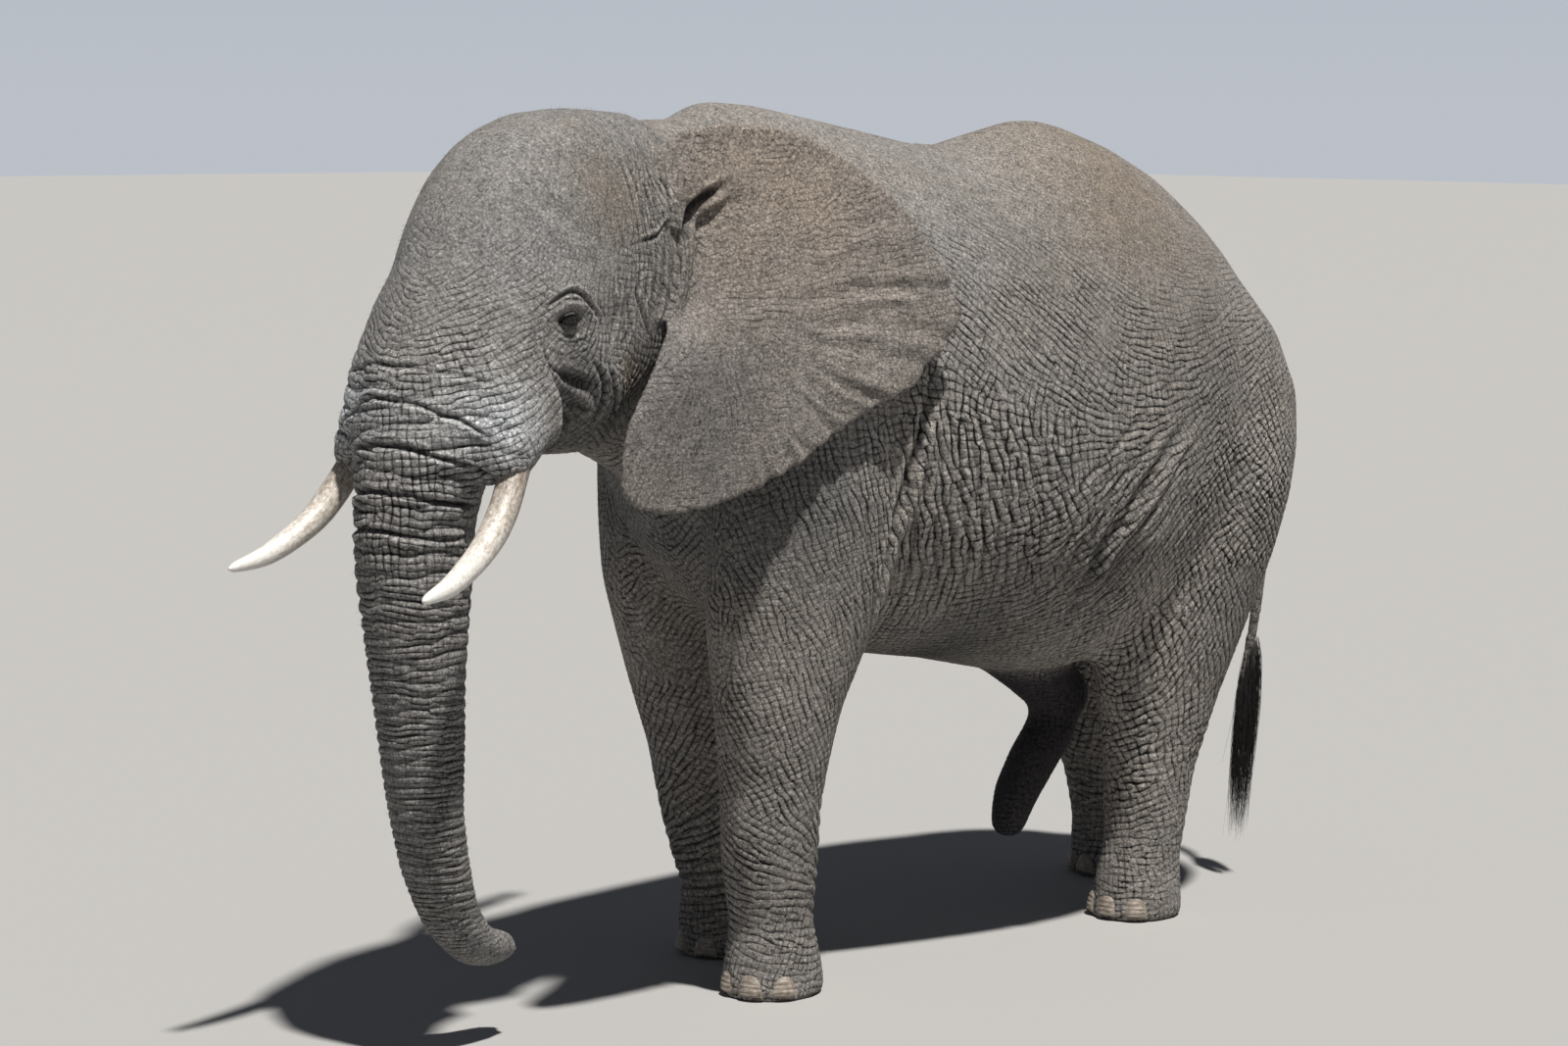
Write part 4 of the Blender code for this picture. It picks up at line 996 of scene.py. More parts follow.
def shaped_ear(points, side, behind):
    """One ear: its middle surface ironed, its front edge notched, with long folds and a wavy rim.

    The tree of faces named behind is the skin of the head and the body.
    """
    ear = to_head(points)
    ear[:, 0] *= side
    # Iron the middle surface, which is mapped on a grid over y and z
    low = ear[:, 1:].min(axis=0) - EAR_MARGIN
    size = ((ear[:, 1:].max(axis=0) - low + EAR_MARGIN) / EAR_CELL).astype(int)
    place = (ear[:, 1:] - low) / EAR_CELL
    count, total = np.zeros((2, *size))
    index = tuple(place.astype(int).T)
    np.add.at(count, index, 1)
    np.add.at(total, index, ear[:, 0])
    near = blurred(total, 3) / (blurred(count, 3) + 1e-9)
    mask = (count > 0).astype(float)
    shift = blurred(near * mask, EAR_IRONING) / (blurred(mask, EAR_IRONING) + 1e-9) - near
    change, middle, weights = np.zeros((3, len(ear)))
    for cell, weight in cells_near(place):
        weight = (weight + FAINT) * mask[cell]
        change += weight * shift[cell]
        middle += weight * near[cell]
        weights += weight
    from_front = ear[:, 1] - np.interp(ear[:, 2], *EAR_FRONT)
    change = change / weights * step(0.05, 0.25, from_front)
    middle = middle / weights + change
    ear[:, 0] += change
    # Notch the front edge
    height = ear[:, 2] - EAR_SLANT * from_front
    ear[:, 1] += np.interp(height, *EAR_NOTCH, right=0) * step(0.50, 0.0, from_front)
    # Press in long folds and make the rim wavy
    away, angle, reach = about_ear_root(ear)
    flat = ear * (0, 1, 1)
    sway = noise(flat, 3.0, 2, 31)
    rearwards = step(-0.5, 0.3, angle) * step(2.2, 1.5, angle)
    fold = np.sin(angle * 38 + sway * 2.2) + 0.6 * np.sin(angle * 61 + sway * 3.1)
    strength = rearwards * step(0.28, 0.72, reach) * (0.55 + 0.45 * noise(flat, 5.0, 1, 32))
    ear[:, 0] += EAR_FOLDS[0] * fold * strength
    rim = np.abs(np.sin(angle * 29 + sway * 3)) - 0.6 + 0.5 * noise(flat, 18.0, 1, 33)
    scallop = EAR_FOLDS[1] * rim * rearwards * step(0.45, 0.75, reach)
    ear[:, 1:] += away / reach[:, None] * scallop[:, None]
    # Lift the free part of the front edge off the head and neck
    free = step(2.96, 2.68, ear[:, 2] - EAR_SLANT * from_front) * step(2.2, 2.5, ear[:, 2])
    free *= step(0.30, 0.10, from_front)
    ear[:, 0] *= side
    world = to_head(ear, back=True)
    way = turned_to_head(np.array(((-side, 0.0, 0.0),)), back=True)[0]
    for number in np.flatnonzero(free > 0):
        hit = behind.ray_cast(Vector(world[number] - way), Vector(way), 1.4)
        if hit[0] is not None:
            gap = (world[number] - np.array(hit[0])) @ -way
            lift = max(0.0, EAR_LIFT - gap + abs(ear[number, 0]) - middle[number])
            world[number] -= way * lift * free[number]
    return world


# Materials

def new_material(name, inputs):
    """A material, its node tree, and its shader with some of its inputs set."""
    material = bpy.data.materials.new(name)
    material.use_nodes = True
    tree = material.node_tree
    shader = tree.nodes["Principled BSDF"]
    for socket, value in inputs.items():
        shader.inputs[socket].default_value = value
    return material, tree, shader


def math_node(tree, operation, *values, clamp=False):
    """The result of a sum over sockets or numbers."""
    node = tree.nodes.new("ShaderNodeMath")
    node.operation = operation
    node.use_clamp = clamp
    for socket, value in zip(node.inputs, values):
        if isinstance(value, (int, float)):
            socket.default_value = value
        else:
            tree.links.new(value, socket)
    return node.outputs[0]


def attribute(tree, name, output="Vector"):
    """A mesh attribute's socket."""
    node = tree.nodes.new("ShaderNodeAttribute")
    node.attribute_name = name
    return node.outputs[output]


def split(tree, vector):
    """The three parts of a vector socket."""
    parts = tree.nodes.new("ShaderNodeSeparateXYZ")
    tree.links.new(vector, parts.inputs[0])
    return parts.outputs


def object_place(tree):
    """The socket of the place on the object."""
    return tree.nodes.new("ShaderNodeTexCoord").outputs["Object"]


def speckle(tree, vector, scale, detail, roughness=0.5):
    """The socket of a noise texture's value."""
    node = tree.nodes.new("ShaderNodeTexNoise")
    for name, value in (("Scale", scale), ("Detail", detail), ("Roughness", roughness)):
        node.inputs[name].default_value = value
    tree.links.new(vector, node.inputs["Vector"])
    return node.outputs["Fac"]


def ramp(tree, factor, *stops):
    """The colours of a ramp, given as place and colour."""
    node = tree.nodes.new("ShaderNodeValToRGB")
    while len(node.color_ramp.elements) < len(stops):
        node.color_ramp.elements.new(0.5)
    for element, (place, colour) in zip(node.color_ramp.elements, stops):
        element.position = place
        element.color = (*colour, 1)
    tree.links.new(factor, node.inputs[0])
    return node.outputs[0]


def bumped(tree, shader, height, distance, strength):
    """Relief on a shader from a height socket, whose unit is the distance."""
    bump = tree.nodes.new("ShaderNodeBump")
    bump.inputs["Strength"].default_value = strength
    bump.inputs["Distance"].default_value = distance
    tree.links.new(height, bump.inputs["Height"])
    tree.links.new(bump.outputs[0], shader.inputs["Normal"])


def crease_profile(tree, name):
    """How far down a crease a place lies, from 0 to 1, and the crease's depth in mm, from an attribute."""
    real, imaginary, depth = split(tree, attribute(tree, name))
    angle = math_node(tree, "ABSOLUTE", math_node(tree, "ARCTAN2", imaginary, real))
    near = math_node(tree, "SUBTRACT", 1.0, math_node(tree, "DIVIDE", angle, math.pi), clamp=True)
    return math_node(tree, "POWER", near, 6.0), depth


def hide_material():
    """Wrinkled hide: tint from the mesh, creases of both families, fine cracks and grain, with painted shade in
    the creases and cracks.
    """
    material, tree, shader = new_material("hide", {"Roughness": 0.78, "Specular IOR Level": 0.35})
    place = object_place(tree)
    height, crease_shade = 0.0, 0.0
    for name in ("lines_a", "lines_b"):
        hollow, depth = crease_profile(tree, name)
        hollow = math_node(tree, "MULTIPLY", hollow, depth)
        crease_shade = math_node(tree, "ADD", crease_shade, hollow)
        height = math_node(tree, "ADD", height, math_node(tree, "SUBTRACT", depth, hollow))
    tops = []
    for scale, size in HIDE_CRACKS:
        cracks = tree.nodes.new("ShaderNodeTexVoronoi")
        cracks.feature = "DISTANCE_TO_EDGE"
        cracks.inputs["Scale"].default_value = scale
        tree.links.new(place, cracks.inputs["Vector"])
        top = math_node(tree, "MULTIPLY", cracks.outputs["Distance"], 3.0, clamp=True)
        tops.append(math_node(tree, "POWER", top, 0.5))
        height = math_node(tree, "MULTIPLY_ADD", tops[-1], size, height)
    bumped(tree, shader, height, 0.001, 0.85)
    # Painted shade: the colour is darker along the fine cracks
    crack_shade = math_node(tree, "MULTIPLY_ADD", tops[0], 0.55, 0.62)
    grain = -1.30
    for scale, detail, weight in HIDE_GRAIN:
        grain = math_node(tree, "MULTIPLY_ADD", speckle(tree, place, scale, detail, 0.7), weight, grain)
    grain = math_node(tree, "MAXIMUM", grain, 0.3)
    # Painted shade: the colour darkens with the creases' depth, multiplied by the grain and by the cracks'
    # painted shade
    dark = math_node(tree, "MULTIPLY_ADD", crease_shade, -0.15, 1.0, clamp=True)
    dark = math_node(tree, "MULTIPLY", dark, math_node(tree, "MULTIPLY", grain, crack_shade))
    shade = tree.nodes.new("ShaderNodeMix")
    shade.data_type = "RGBA"
    shade.blend_type = "MULTIPLY"
    shade.inputs["Factor"].default_value = 1
    tree.links.new(attribute(tree, "tint", "Color"), shade.inputs["A"])
    tree.links.new(dark, shade.inputs["B"])
    tree.links.new(shade.outputs["Result"], shader.inputs["Base Color"])
    return material


def eye_material():
    """A dark wet eye with a brown iris."""
    material, tree, shader = new_material("eye", {
        "Roughness": 0.12, "Specular IOR Level": 0.15, "Coat Weight": 0.35, "Coat Roughness": 0.03})
    gaze = attribute(tree, "gaze")
    reach = math_node(tree, "MULTIPLY_ADD", speckle(tree, gaze, 900.0, 3.0), 0.0012, split(tree, gaze)[2])
    colour = ramp(tree, math_node(tree, "DIVIDE", reach, 0.03), *EYE_COLOURS)
    tree.links.new(colour, shader.inputs["Base Color"])
    return material


def ivory_material():
    """Worn ivory: creamy, with lengthwise streaks and cracks, and brown stains towards the root."""
    material, tree, shader = new_material("ivory", {"Roughness": 0.38, "Coat Weight": 0.15})
    grain = attribute(tree, "grain")
    streaks = speckle(tree, grain, 9.0, 6.0, 0.65)
    flecks = speckle(tree, object_place(tree), 70.0, 5.0, 0.7)
    both = math_node(tree, "ADD", streaks, flecks)
    root = math_node(tree, "MULTIPLY_ADD", split(tree, grain)[2], -0.42, 1.0, clamp=True)
    dirt = math_node(tree, "MULTIPLY_ADD", root, 0.27, math_node(tree, "MULTIPLY", both, 0.5))
    tree.links.new(ramp(tree, dirt, *IVORY_COLOURS), shader.inputs["Base Color"])
    bumped(tree, shader, both, 0.0012, 0.8)
    return material


def nail_material():
    """Toenail horn with growth ridges and dirt."""
    material, tree, shader = new_material("nail", {"Roughness": 0.55})
    ridges = speckle(tree, attribute(tree, "grain"), 2.2, 4.0, 0.6)
    dirt = speckle(tree, object_place(tree), 45.0, 5.0)
    both = math_node(tree, "MULTIPLY", math_node(tree, "ADD", ridges, dirt), 0.5)
    tree.links.new(ramp(tree, both, *NAIL_COLOURS), shader.inputs["Base Color"])
    bumped(tree, shader, both, 0.004, 0.7)
    return material


def hair_material():
    """Coarse dark hair."""
    material, tree, shader = new_material("hair", {"Roughness": 0.60})
    shade = speckle(tree, object_place(tree), 60.0, 2.0)
    tree.links.new(ramp(tree, shade, *HAIR_COLOURS), shader.inputs["Base Color"])
    return material


# The hide

def eye_light_and_shade(points, base, normals):
    """Factors on the colour near the eyes: dark at the lids' edges, which is dark wet skin with painted shade
    where the opening sinks in; a painted highlight on the upper lid above them; and dark below.
    """
    factor = np.ones(len(points))
    length, upper, lower = EYE_OPENING
    for side_name in SIDES:
        middle, rear, up, _ = eye_frame(side_name, base, normals)
        away = points - middle
        near = np.linalg.norm(away, axis=1) < LIDS_REACH
        u, v = away[near] @ rear, away[near] @ up
        edge = np.hypot(u / length, v / np.where(v > 0, upper, lower))
        # Dark wet skin at the lids' edges, deepened by painted shade where the opening sinks in
        factor[near] *= 0.12 + 0.88 * step(1.15, 1.55, edge)
        # Painted highlight: a pale upper lid, as where the sun falls on it
        factor[near] *= 1 + 0.80 * hill(v, 0.038, 0.011) * hill(u, 0, 0.040)
        factor[near] *= 1 - 0.60 * hill(v, -0.026, 0.012) * hill(u, 0, 0.030)
    return factor


def hide_tint(points, faces, base, shares):
    """Colour of each point of the hide: regions, patches (some of them painted shade, some painted light),
    mottling, the ears' streaks, and painted shade in dips of the relief with painted light on its rises.
    """
    tint = sum(shares[name][:, None] * np.array(HIDE_COLOURS[name]) for name in shares)
    head = to_head(base)
    sway = noise(base, 5.0, 3, 24) * 0.35
    for region, y, z, reach, factors in PATCHES:
        places = base if region == "body" else head
        gap = np.linalg.norm(places[:, 1:] - (y, z), axis=1) + sway * reach
        share = hill(gap, 0, reach) * sum(shares[name] for name in TINTED_WITH[region])
        tint *= 1 + share[:, None] * (np.array(factors) - 1)
    tint *= (1 + 0.08 * noise(base, 2.0, 3, 21) + 0.07 * noise(base, 12.0, 3, 22))[:, None]
    warm = 0.02 * noise(base, 4.0, 3, 23)
    tint *= 1 + warm[:, None] * np.array((1.0, 0.1, -1.0))
    _, radial, reach = about_ear_root(head)
    streak = noise(np.stack((radial * 0.6, reach * 0.15, 0 * reach), 1), 26.0, 3, 25)
    tint *= (1 + 0.13 * shares["ear"] * streak * step(0.15, 0.5, reach))[:, None]
    # Painted shade and light: the colour is darker where the relief dips below its surroundings and lighter
    # where it rises above them
    relief = ((points - base) * point_normals(base, faces)).sum(axis=1)
    level = smoothed(relief[:, None], edges_of(faces), 14)[:, 0]
    hollow_shade = np.clip((relief - level) / 0.003, -1.6, 1.2)
    tint *= (1 + 0.34 * hollow_shade)[:, None]
    return np.clip(tint, 0.01, 0.9)


def point_attribute(obj, name, kind, values):
    """Store values at the points of an object's mesh."""
    layer = obj.data.attributes.new(name, kind, "POINT")
    field = "vector" if kind == "FLOAT_VECTOR" else "color"
    layer.data.foreach_set(field, values.astype(np.float32).ravel())


def unwrapped(base, normals, faces, shares):
    """A place on the hide's map for each corner of its faces.

    Each region, side, half and facing has a chart of its own. The charts are laid out in rows.
    """
    middle = base[faces].mean(axis=1)
    facing = normals[faces].mean(axis=1)
    axis = np.abs(facing).argmax(axis=1)
    towards = 2 * axis + (np.take_along_axis(facing, axis[:, None], 1)[:, 0] > 0)
    region = np.stack([share[faces[:, 0]] for share in shares.values()]).argmax(axis=0)
    chart = ((region * 2 + (middle[:, 0] > 0)) * 2 + (middle[:, 1] > HALVES_PART)) * 6 + towards
    names, chart = np.unique(chart, return_inverse=True)
    flat = base[faces][np.arange(len(faces))[:, None, None], np.arange(4)[:, None], PLANE[axis][:, None, :]]
    low = np.full((len(names), 2), np.inf)
    high = -low
    for axis in (0, 1):
        np.minimum.at(low[:, axis], chart, flat[:, :, axis].min(axis=1))
        np.maximum.at(high[:, axis], chart, flat[:, :, axis].max(axis=1))
    size = high - low
    row_length = math.sqrt((size[:, 0] * size[:, 1]).sum()) * 1.25
    places = np.zeros((len(names), 2))
    x, y, height = 0.0, 0.0, 0.0
    for number in np.argsort(-size[:, 1]):
        if x + size[number, 0] > row_length:
            x, y, height = 0.0, y + height + CHART_GAP, 0.0
        places[number] = x, y
        x += size[number, 0] + CHART_GAP
        height = max(height, size[number, 1])
    total = max(row_length + CHART_GAP, y + height)
    return (flat - low[chart][:, None] + places[chart][:, None]) / total


def map_corners(obj, places):
    """Give an object a map named OFBake from one place per face corner."""
    layer = obj.data.uv_layers.new(name="OFBake")
    layer.data.foreach_set("uv", places.astype(np.float32).ravel())


def make_hide():
    """The one hide over all flesh; its points, normals, regions and places on its map are given back."""
    base, faces = hide_base()
    shares = region_shares(base)
    points, waves, normals = wrinkled(base, faces, shares)
    points[:, 2] = np.maximum(points[:, 2], 0)
    # The tint carries painted shade and light: in dips of the relief, in some patches and round the eyes
    tint = hide_tint(points, faces, base, shares) * eye_light_and_shade(points, base, normals)[:, None]
    hide = mesh_object("hide", points, faces)
    places = unwrapped(base, normals, faces, shares)
    map_corners(hide, places)
    point_attribute(hide, "lines_a", "FLOAT_VECTOR", waves[0])
    point_attribute(hide, "lines_b", "FLOAT_VECTOR", waves[1])
    point_attribute(hide, "tint", "FLOAT_COLOR", np.hstack((tint, np.ones((len(tint), 1)))))
    hide.data.materials.append(hide_material())
    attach(hide, "root")
    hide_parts(*(name for names in REGIONS.values() for name in names))
    point_places = np.zeros((len(points), 2))
    point_places[faces] = places
    return points, point_normals(points, faces), shares, point_places


# Eyes, tusks, nails and hair

def finished(obj, material, slot, *replaced):
    """Give a piece its material and body, and hide the CAD nodes that it stands for; slot is not used."""
    obj.data.materials.append(material)
    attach(obj, "root")
    if replaced:
        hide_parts(*replaced)


def ring_mesh(name, rings):
    """A closed skin over rings of points, of shape rings, sides, 3; the ends are closed by one face each."""
    count, sides = rings.shape[:2]
    index = np.arange(count * sides).reshape(count, sides)
    after = np.roll(index, -1, axis=1)
    faces = np.stack((index[:-1], after[:-1], after[1:], index[1:]), 2).reshape(-1, 4)
    ends = index[0][::-1].tolist(), index[-1].tolist()
    return mesh_object(name, rings.reshape(-1, 3), faces, ends)


def make_eye(side_name, material, base, normals):
    """One eyeball with its cornea; the eye's frame is given back."""
    middle, rear, up, out = eye_frame(side_name, base, normals)
    polar = np.linspace(0.02, math.pi - 0.02, 40)[:, None]
    turn = np.linspace(0, 2 * math.pi, 64, endpoint=False)[None]
    cornea = 0.0022 * np.exp(-(polar / 0.42) ** 4)
    radius = EYE_BALL - 0.0008 + cornea
    across, deep = radius * np.sin(polar), radius * np.cos(polar)
    parts = (across * np.cos(turn), across * np.sin(turn), deep + 0 * turn)
    rings = middle + sum(part[..., None] * way for part, way in zip(parts, (rear, up, out)))
    gaze = np.stack((parts[0], parts[1], across + 0 * turn), 2)
    if SIDES[side_name] > 0:
        rings, gaze = rings[:, ::-1], gaze[:, ::-1]
    eye = ring_mesh("eyeball_" + side_name, rings)
    point_attribute(eye, "gaze", "FLOAT_VECTOR", gaze.reshape(-1, 3))
    finished(eye, material, "eye", "eye_" + side_name)
    return middle, rear, up, out


def smooth_rows(rows, count):
    """Rows of numbers carried smoothly through the given ones."""
    rows = np.array(rows, dtype=float)
    rows = np.vstack((2 * rows[0] - rows[1], rows, 2 * rows[-1] - rows[-2]))
    place = np.linspace(0, len(rows) - 3 - 1e-9, count)
    index = place.astype(int)
    t = (place - index)[:, None]
    a, b, c, d = (rows[index + k] for k in range(4))
    linear, square, cubic = c - a, 2 * a - 5 * b + 4 * c - d, 3 * b - a - 3 * c + d
    return 0.5 * (2 * b + linear * t + square * t ** 2 + cubic * t ** 3)


def make_tusk(side_name, material):
    """One tusk, slightly flat on two sides and worn smooth at its tip."""
    side = SIDES[side_name]
    rows = smooth_rows(TUSK, TUSK_RINGS)
    lift = (TUSK[0][2] - rows[:, 2]) / (TUSK[0][2] - TUSK[-1][2])
    centres = rows[:, :3] * (side, 1, 1) + np.outer(lift, (0, 0, TUSK_LIFT[side_name]))
    way = unit(np.gradient(centres, axis=0))
    first = unit(np.cross(way, (0.0, 0.0, 1.0)))
    second = np.cross(way, first)
    turn = np.linspace(0, 2 * math.pi, TUSK_SIDES, endpoint=False)
    cos, sin = np.cos(turn), np.sin(turn)
    spots = np.stack(np.broadcast_arrays(2 * cos, 2 * sin, lengths_along(centres)[:, None] * 3.5), 2)
    rough = noise(spots.reshape(-1, 3), 1.6, 4, 51 + side).reshape(TUSK_RINGS, TUSK_SIDES)
    radius = rows[:, 3:4] * (1 + 0.02 * rough * step(0.0, 0.02, rows[:, 3:4]))
    radius = radius * (1 - 0.06 * np.abs(sin) ** 4)
    ways = cos[:, None] * first[:, None] + sin[:, None] * second[:, None]
    rings = centres[:, None] + radius[..., None] * ways
    rings = to_head(rings.reshape(-1, 3), back=True).reshape(TUSK_RINGS, TUSK_SIDES, 3)
    tusk = ring_mesh("ivory_" + side_name, rings)
    point_attribute(tusk, "grain", "FLOAT_VECTOR", spots.reshape(-1, 3))
    finished(tusk, material, "ivory", "tusk_" + side_name)


def nail_faces():
    """The quads of one nail: its front sheet, its back sheet and the rim between them."""
    count = NAIL_GRID ** 2
    grid = np.arange(count).reshape(NAIL_GRID, NAIL_GRID)
    front = np.stack((grid[:-1, :-1], grid[:-1, 1:], grid[1:, 1:], grid[1:, :-1]), 2).reshape(-1, 4)
    rim = np.concatenate((grid[0, :-1], grid[:-1, -1], grid[-1, :0:-1], grid[:0:-1, 0]))
    after = np.roll(rim, -1)
    return np.vstack((front, front[:, ::-1] + count, np.stack((after, rim, rim + count, after + count), 1)))


def make_nails(kind, side_name, material):
    """The toenails of one foot: thick rounded plates, worn at their lower edge."""
    names = [f"nail_{kind}_{side_name}_{number + 1}" for number in range(FOOT_NAILS[kind])]
    points, faces, grains = [], [], []
    tall = np.linspace(-1, 1, NAIL_GRID)[:, None]
    wide = np.linspace(-1, 1, NAIL_GRID)[None]
    taper = np.where(tall > 0, np.abs(tall) ** 2.6, tall ** 6)
    round_off = np.maximum(1 - np.abs(wide) ** 3.2 - taper, 0) ** 0.45
    for number, name in enumerate(names):
        middle = np.mean([list(corner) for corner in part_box(name)], axis=0)
        ways = np.linalg.svd(node_arrays([name])[0] - middle, full_matrices=False)[2]
        out = ways[2] * (1 if ways[2] @ (0, -1, 0.2) > 0 else -1)
        up = unit(np.array((0.0, 0.0, 1.0)) - out * out[2])
        across = np.cross(up, out)
        thick = (0.013 + 0.0012 * np.sin(tall * 14 + number)) * round_off
        width = 0.044 * (1 - 0.12 * tall)
        deep = 0.001 + thick - 0.010 * wide ** 2
        front = np.stack(np.broadcast_arrays(wide * width, tall * 0.039, deep), 2)
        back = front * (0.97, 0.97, 1.0) - (0, 0, 0.016)
        faces.append(nail_faces() + number * 2 * NAIL_GRID ** 2)
        for sheet in (front, back):
            spots = middle + sheet[..., :1] * across + sheet[..., 1:2] * up + sheet[..., 2:] * out
            points.append(spots.reshape(-1, 3))
            grains.append((sheet * (8, 90, 30) + number).reshape(-1, 3))
    nails = mesh_object(f"nails_{kind}_{side_name}", np.vstack(points), np.vstack(faces))
    point_attribute(nails, "grain", "FLOAT_VECTOR", np.vstack(grains))
    finished(nails, material, "nail", *names)


def strands(name, roots, bends, tips, root_places, radius, segments):
    """Solid tapered hairs along curves from roots to tips by way of bends, each mapped at its root."""
    t = np.linspace(0, 1, segments + 1)[None, :, None]
    line = (1 - t) ** 2 * roots[:, None] + 2 * t * (1 - t) * bends[:, None] + t ** 2 * tips[:, None]
    way = unit(np.gradient(line, axis=1))
    first = unit(np.cross(way, (0.31, 0.87, 0.38)))
    second = np.cross(way, first)
    thick = radius * (1 - 0.8 * t ** 2)
    turns = 2 * math.pi * np.arange(3) / 3
    rings = [line + thick * (math.cos(turn) * first + math.sin(turn) * second) for turn in turns]
    count, levels = len(roots), segments + 1
    index = np.arange(count * levels * 3).reshape(count, levels, 3)
    after = np.roll(index, -1, axis=2)
    sides = np.stack((index[:, :-1], after[:, :-1], after[:, 1:], index[:, 1:]), 3).reshape(-1, 4)
    tris = np.concatenate((sides[:, [0, 1, 2]], sides[:, [0, 2, 3]], index[:, 0, ::-1], index[:, -1]))
    hair = mesh_object(name, np.stack(rings, 2).reshape(-1, 3), tris)
    beside = (np.arange(3) - 1) * 0.0015
    spread = np.stack(np.broadcast_arrays(beside, (t - 0.5) * 0.003), 3)
    places = (root_places[:, None, None] + spread).reshape(-1, 2)
    map_corners(hair, places[tris])
    return hair


def make_tail_hair(hide, material):
    """The fringe of long hair along the front and the back of the tail's end."""
    points, _, shares, point_places = hide
    rng = np.random.default_rng(SEED + 1)
    count = TAIL_HAIRS
    height = rng.random(count) ** 0.8
    start = smooth_rows(TAIL_LINE, 60)[(height * 59).astype(int)]
    sense = np.where(rng.random(count) < 0.5, 1.0, -1.0)
    turn = rng.normal(0, 0.55, count)
    out = np.stack((np.sin(turn), sense * np.cos(turn), 0 * turn), 1)
    root = start + out * (0.012 + 0.010 * (1 - height))[:, None]
    length = (0.30 + 0.45 * rng.random(count)) * (0.75 + 0.25 * height)
    end = np.maximum(root[:, 2] - length, HAIR_END[2] + 0.12 * rng.random(count))
    drop = (root[:, 2] - end)[:, None]
    tip = root * (1, 1, 0) + end[:, None] * (0, 0, 1)
    pull = np.clip(drop / 0.8, 0, 1)
    tip[:, :2] += (np.array(HAIR_END[:2]) - tip[:, :2]) * 0.75 * pull + rng.normal(0, 0.012, (count, 2))
    tip += out * 0.018
    bend = root + out * (0.025 + 0.03 * rng.random(count))[:, None] - drop * (0, 0, 0.45)
    own = np.flatnonzero(shares["tail"] > 0.4)
    finder = finder_of(points[own])
    nearest = [own[finder.find(spot)[1]] for spot in root]
    hair = strands("tail_hair", root, bend, tip, point_places[nearest], radius=0.0009, segments=8)
    finished(hair, material, "tail_hair", "tail_tuft")


def make_lashes(side_name, eye, hide, material):
    """Long lashes of the upper lid and short ones of the lower lid."""
    points, _, _, point_places = hide
    middle, rear, up, out = eye
    rng = np.random.default_rng(SEED + 2 + SIDES[side_name])
    length, upper, lower = EYE_OPENING
    count = LASHES
    above = rng.random(count) < 0.7
    u = rng.uniform(-0.92, 0.92, count) * length
    bow = np.sqrt(1 - (u / length) ** 2)
    v = np.where(above, upper * bow + 0.0015, -lower * bow - 0.0015) + rng.normal(0, 0.0006, count)
    w = np.sqrt((EYE_BALL + 0.003) ** 2 - u ** 2 - v ** 2)
    root = middle + u[:, None] * rear + v[:, None] * up + w[:, None] * out
    reach = np.where(above, rng.uniform(0.030, 0.050, count), rng.uniform(0.012, 0.022, count))[:, None]
    fan = (u / length * 0.5 + rng.normal(0, 0.12, count))[:, None] * rear
    bend = root + (out * 0.75 + np.where(above, 0.10, -0.25)[:, None] * up + 0.6 * fan) * reach * 0.6
    tip = root + (out * 0.75 - 0.75 * up + fan) * reach
    near = np.flatnonzero(np.linalg.norm(points - middle, axis=1) < 0.06)
    nearest = [near[np.linalg.norm(points[near] - spot, axis=1).argmin()] for spot in root]
    lashes = strands("lashes_" + side_name, root, bend, tip, point_places[nearest], radius=0.0004, segments=5)
    finished(lashes, material, "tail_hair")


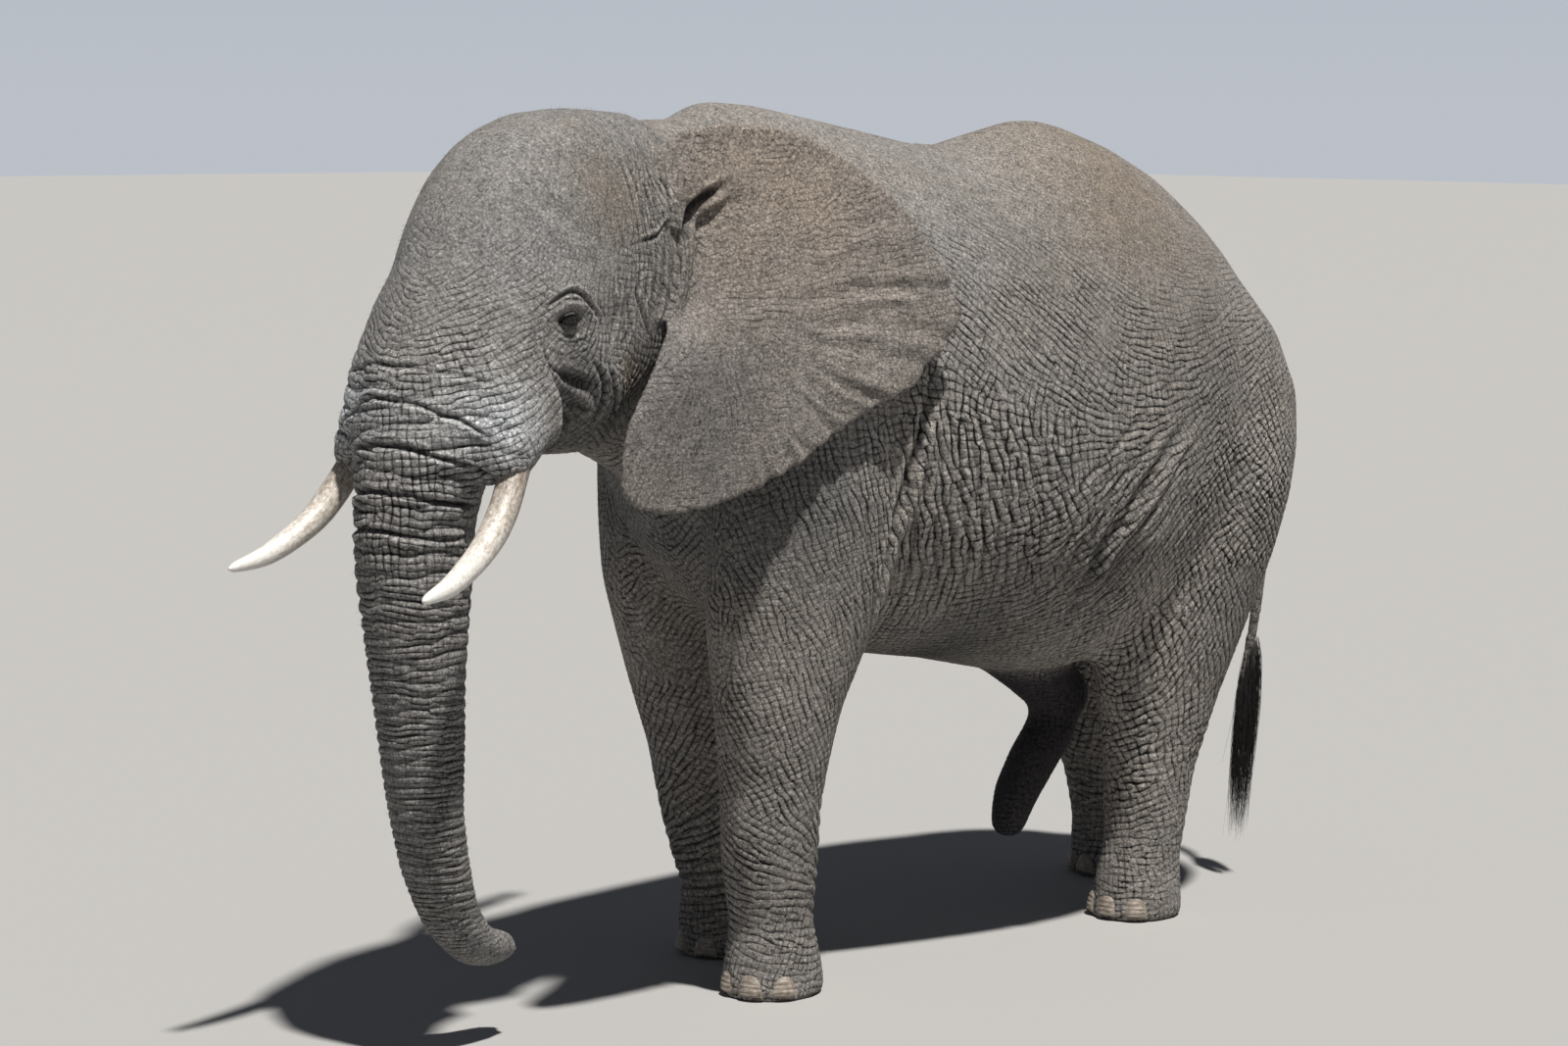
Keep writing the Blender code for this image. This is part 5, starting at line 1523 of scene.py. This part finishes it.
def make_bristles(hide, material):
    """Sparse short hairs over the skin, denser on the head, chin and trunk."""
    points, normals, shares, point_places = hide
    rng = np.random.default_rng(SEED + 5)
    weight = 0.25 * shares["body"] + 1.6 * shares["head"] + 1.2 * shares["trunk"] + 0.1 * shares["leg"]
    weight *= step(0.2, 0.6, points[:, 2]) * calm_places(points)
    some = rng.choice(len(points), BRISTLES, replace=False, p=weight / weight.sum())
    reach = rng.uniform(0.008, 0.020, len(some))[:, None]
    lean = normals[some] + rng.normal(0, 0.25, (len(some), 3)) + (0, 0, -0.35)
    root = points[some] - normals[some] * 0.002
    bend = root + normals[some] * reach * 0.5
    tip = root + unit(lean) * reach
    bristles = strands("bristles", root, bend, tip, point_places[some], radius=0.00035, segments=2)
    finished(bristles, material, "tail_hair")


# Camera and stage

def make_camera():
    """The camera, at the photograph's place and framing."""
    data = bpy.data.cameras.new("camera")
    data.lens = CAMERA_LENS
    data.sensor_width = 36
    camera = bpy.data.objects.new("camera", data)
    bpy.context.scene.collection.objects.link(camera)
    aim = Matrix.Rotation(CAMERA_AZIMUTH, 4, "Z") @ Matrix.Rotation(math.pi / 2 - CAMERA_PITCH, 4, "X")
    camera.matrix_world = Matrix.Translation(CAMERA_PLACE) @ aim @ Matrix.Rotation(CAMERA_ROLL, 4, "Z")
    bpy.context.scene.camera = camera


def make_stage():
    """Grey floor, one soft sun from the left and above, and a surround that is pale near the horizon."""
    bpy.ops.mesh.primitive_plane_add(size=240, location=(0, 0, -0.001))
    floor = bpy.context.object
    floor.name = "floor"
    floor.data.materials.append(new_material("floor", {"Base Color": FLOOR_COLOUR, "Roughness": 0.9})[0])
    world = bpy.data.worlds.new("studio")
    world.use_nodes = True
    tree = world.node_tree
    height = split(tree, tree.nodes.new("ShaderNodeTexCoord").outputs["Generated"])[2]
    tree.links.new(ramp(tree, height, *SKY_COLOURS), tree.nodes["Background"].inputs["Color"])
    bpy.context.scene.world = world
    data = bpy.data.lights.new("key", "SUN")
    data.energy = SUN_STRENGTH
    data.angle = SUN_ANGLE
    data.color = SUN_COLOUR
    lamp = bpy.data.objects.new("key", data)
    bpy.context.scene.collection.objects.link(lamp)
    lamp.matrix_world = Vector(SUN_FROM).to_track_quat("Z", "Y").to_matrix().to_4x4()
    bpy.context.scene.view_settings.view_transform = "Standard"


def main():
    """Build everything in order."""
    make_camera()
    make_stage()
    hide = make_hide()
    eye, ivory, nail, hair = eye_material(), ivory_material(), nail_material(), hair_material()
    for side_name in SIDES:
        frame_of_eye = make_eye(side_name, eye, *hide[:2])
        make_lashes(side_name, frame_of_eye, hide, hair)
        make_tusk(side_name, ivory)
        for kind in FOOT_NAILS:
            make_nails(kind, side_name, nail)
    make_tail_hair(hide, hair)
    make_bristles(hide, hair)


main()
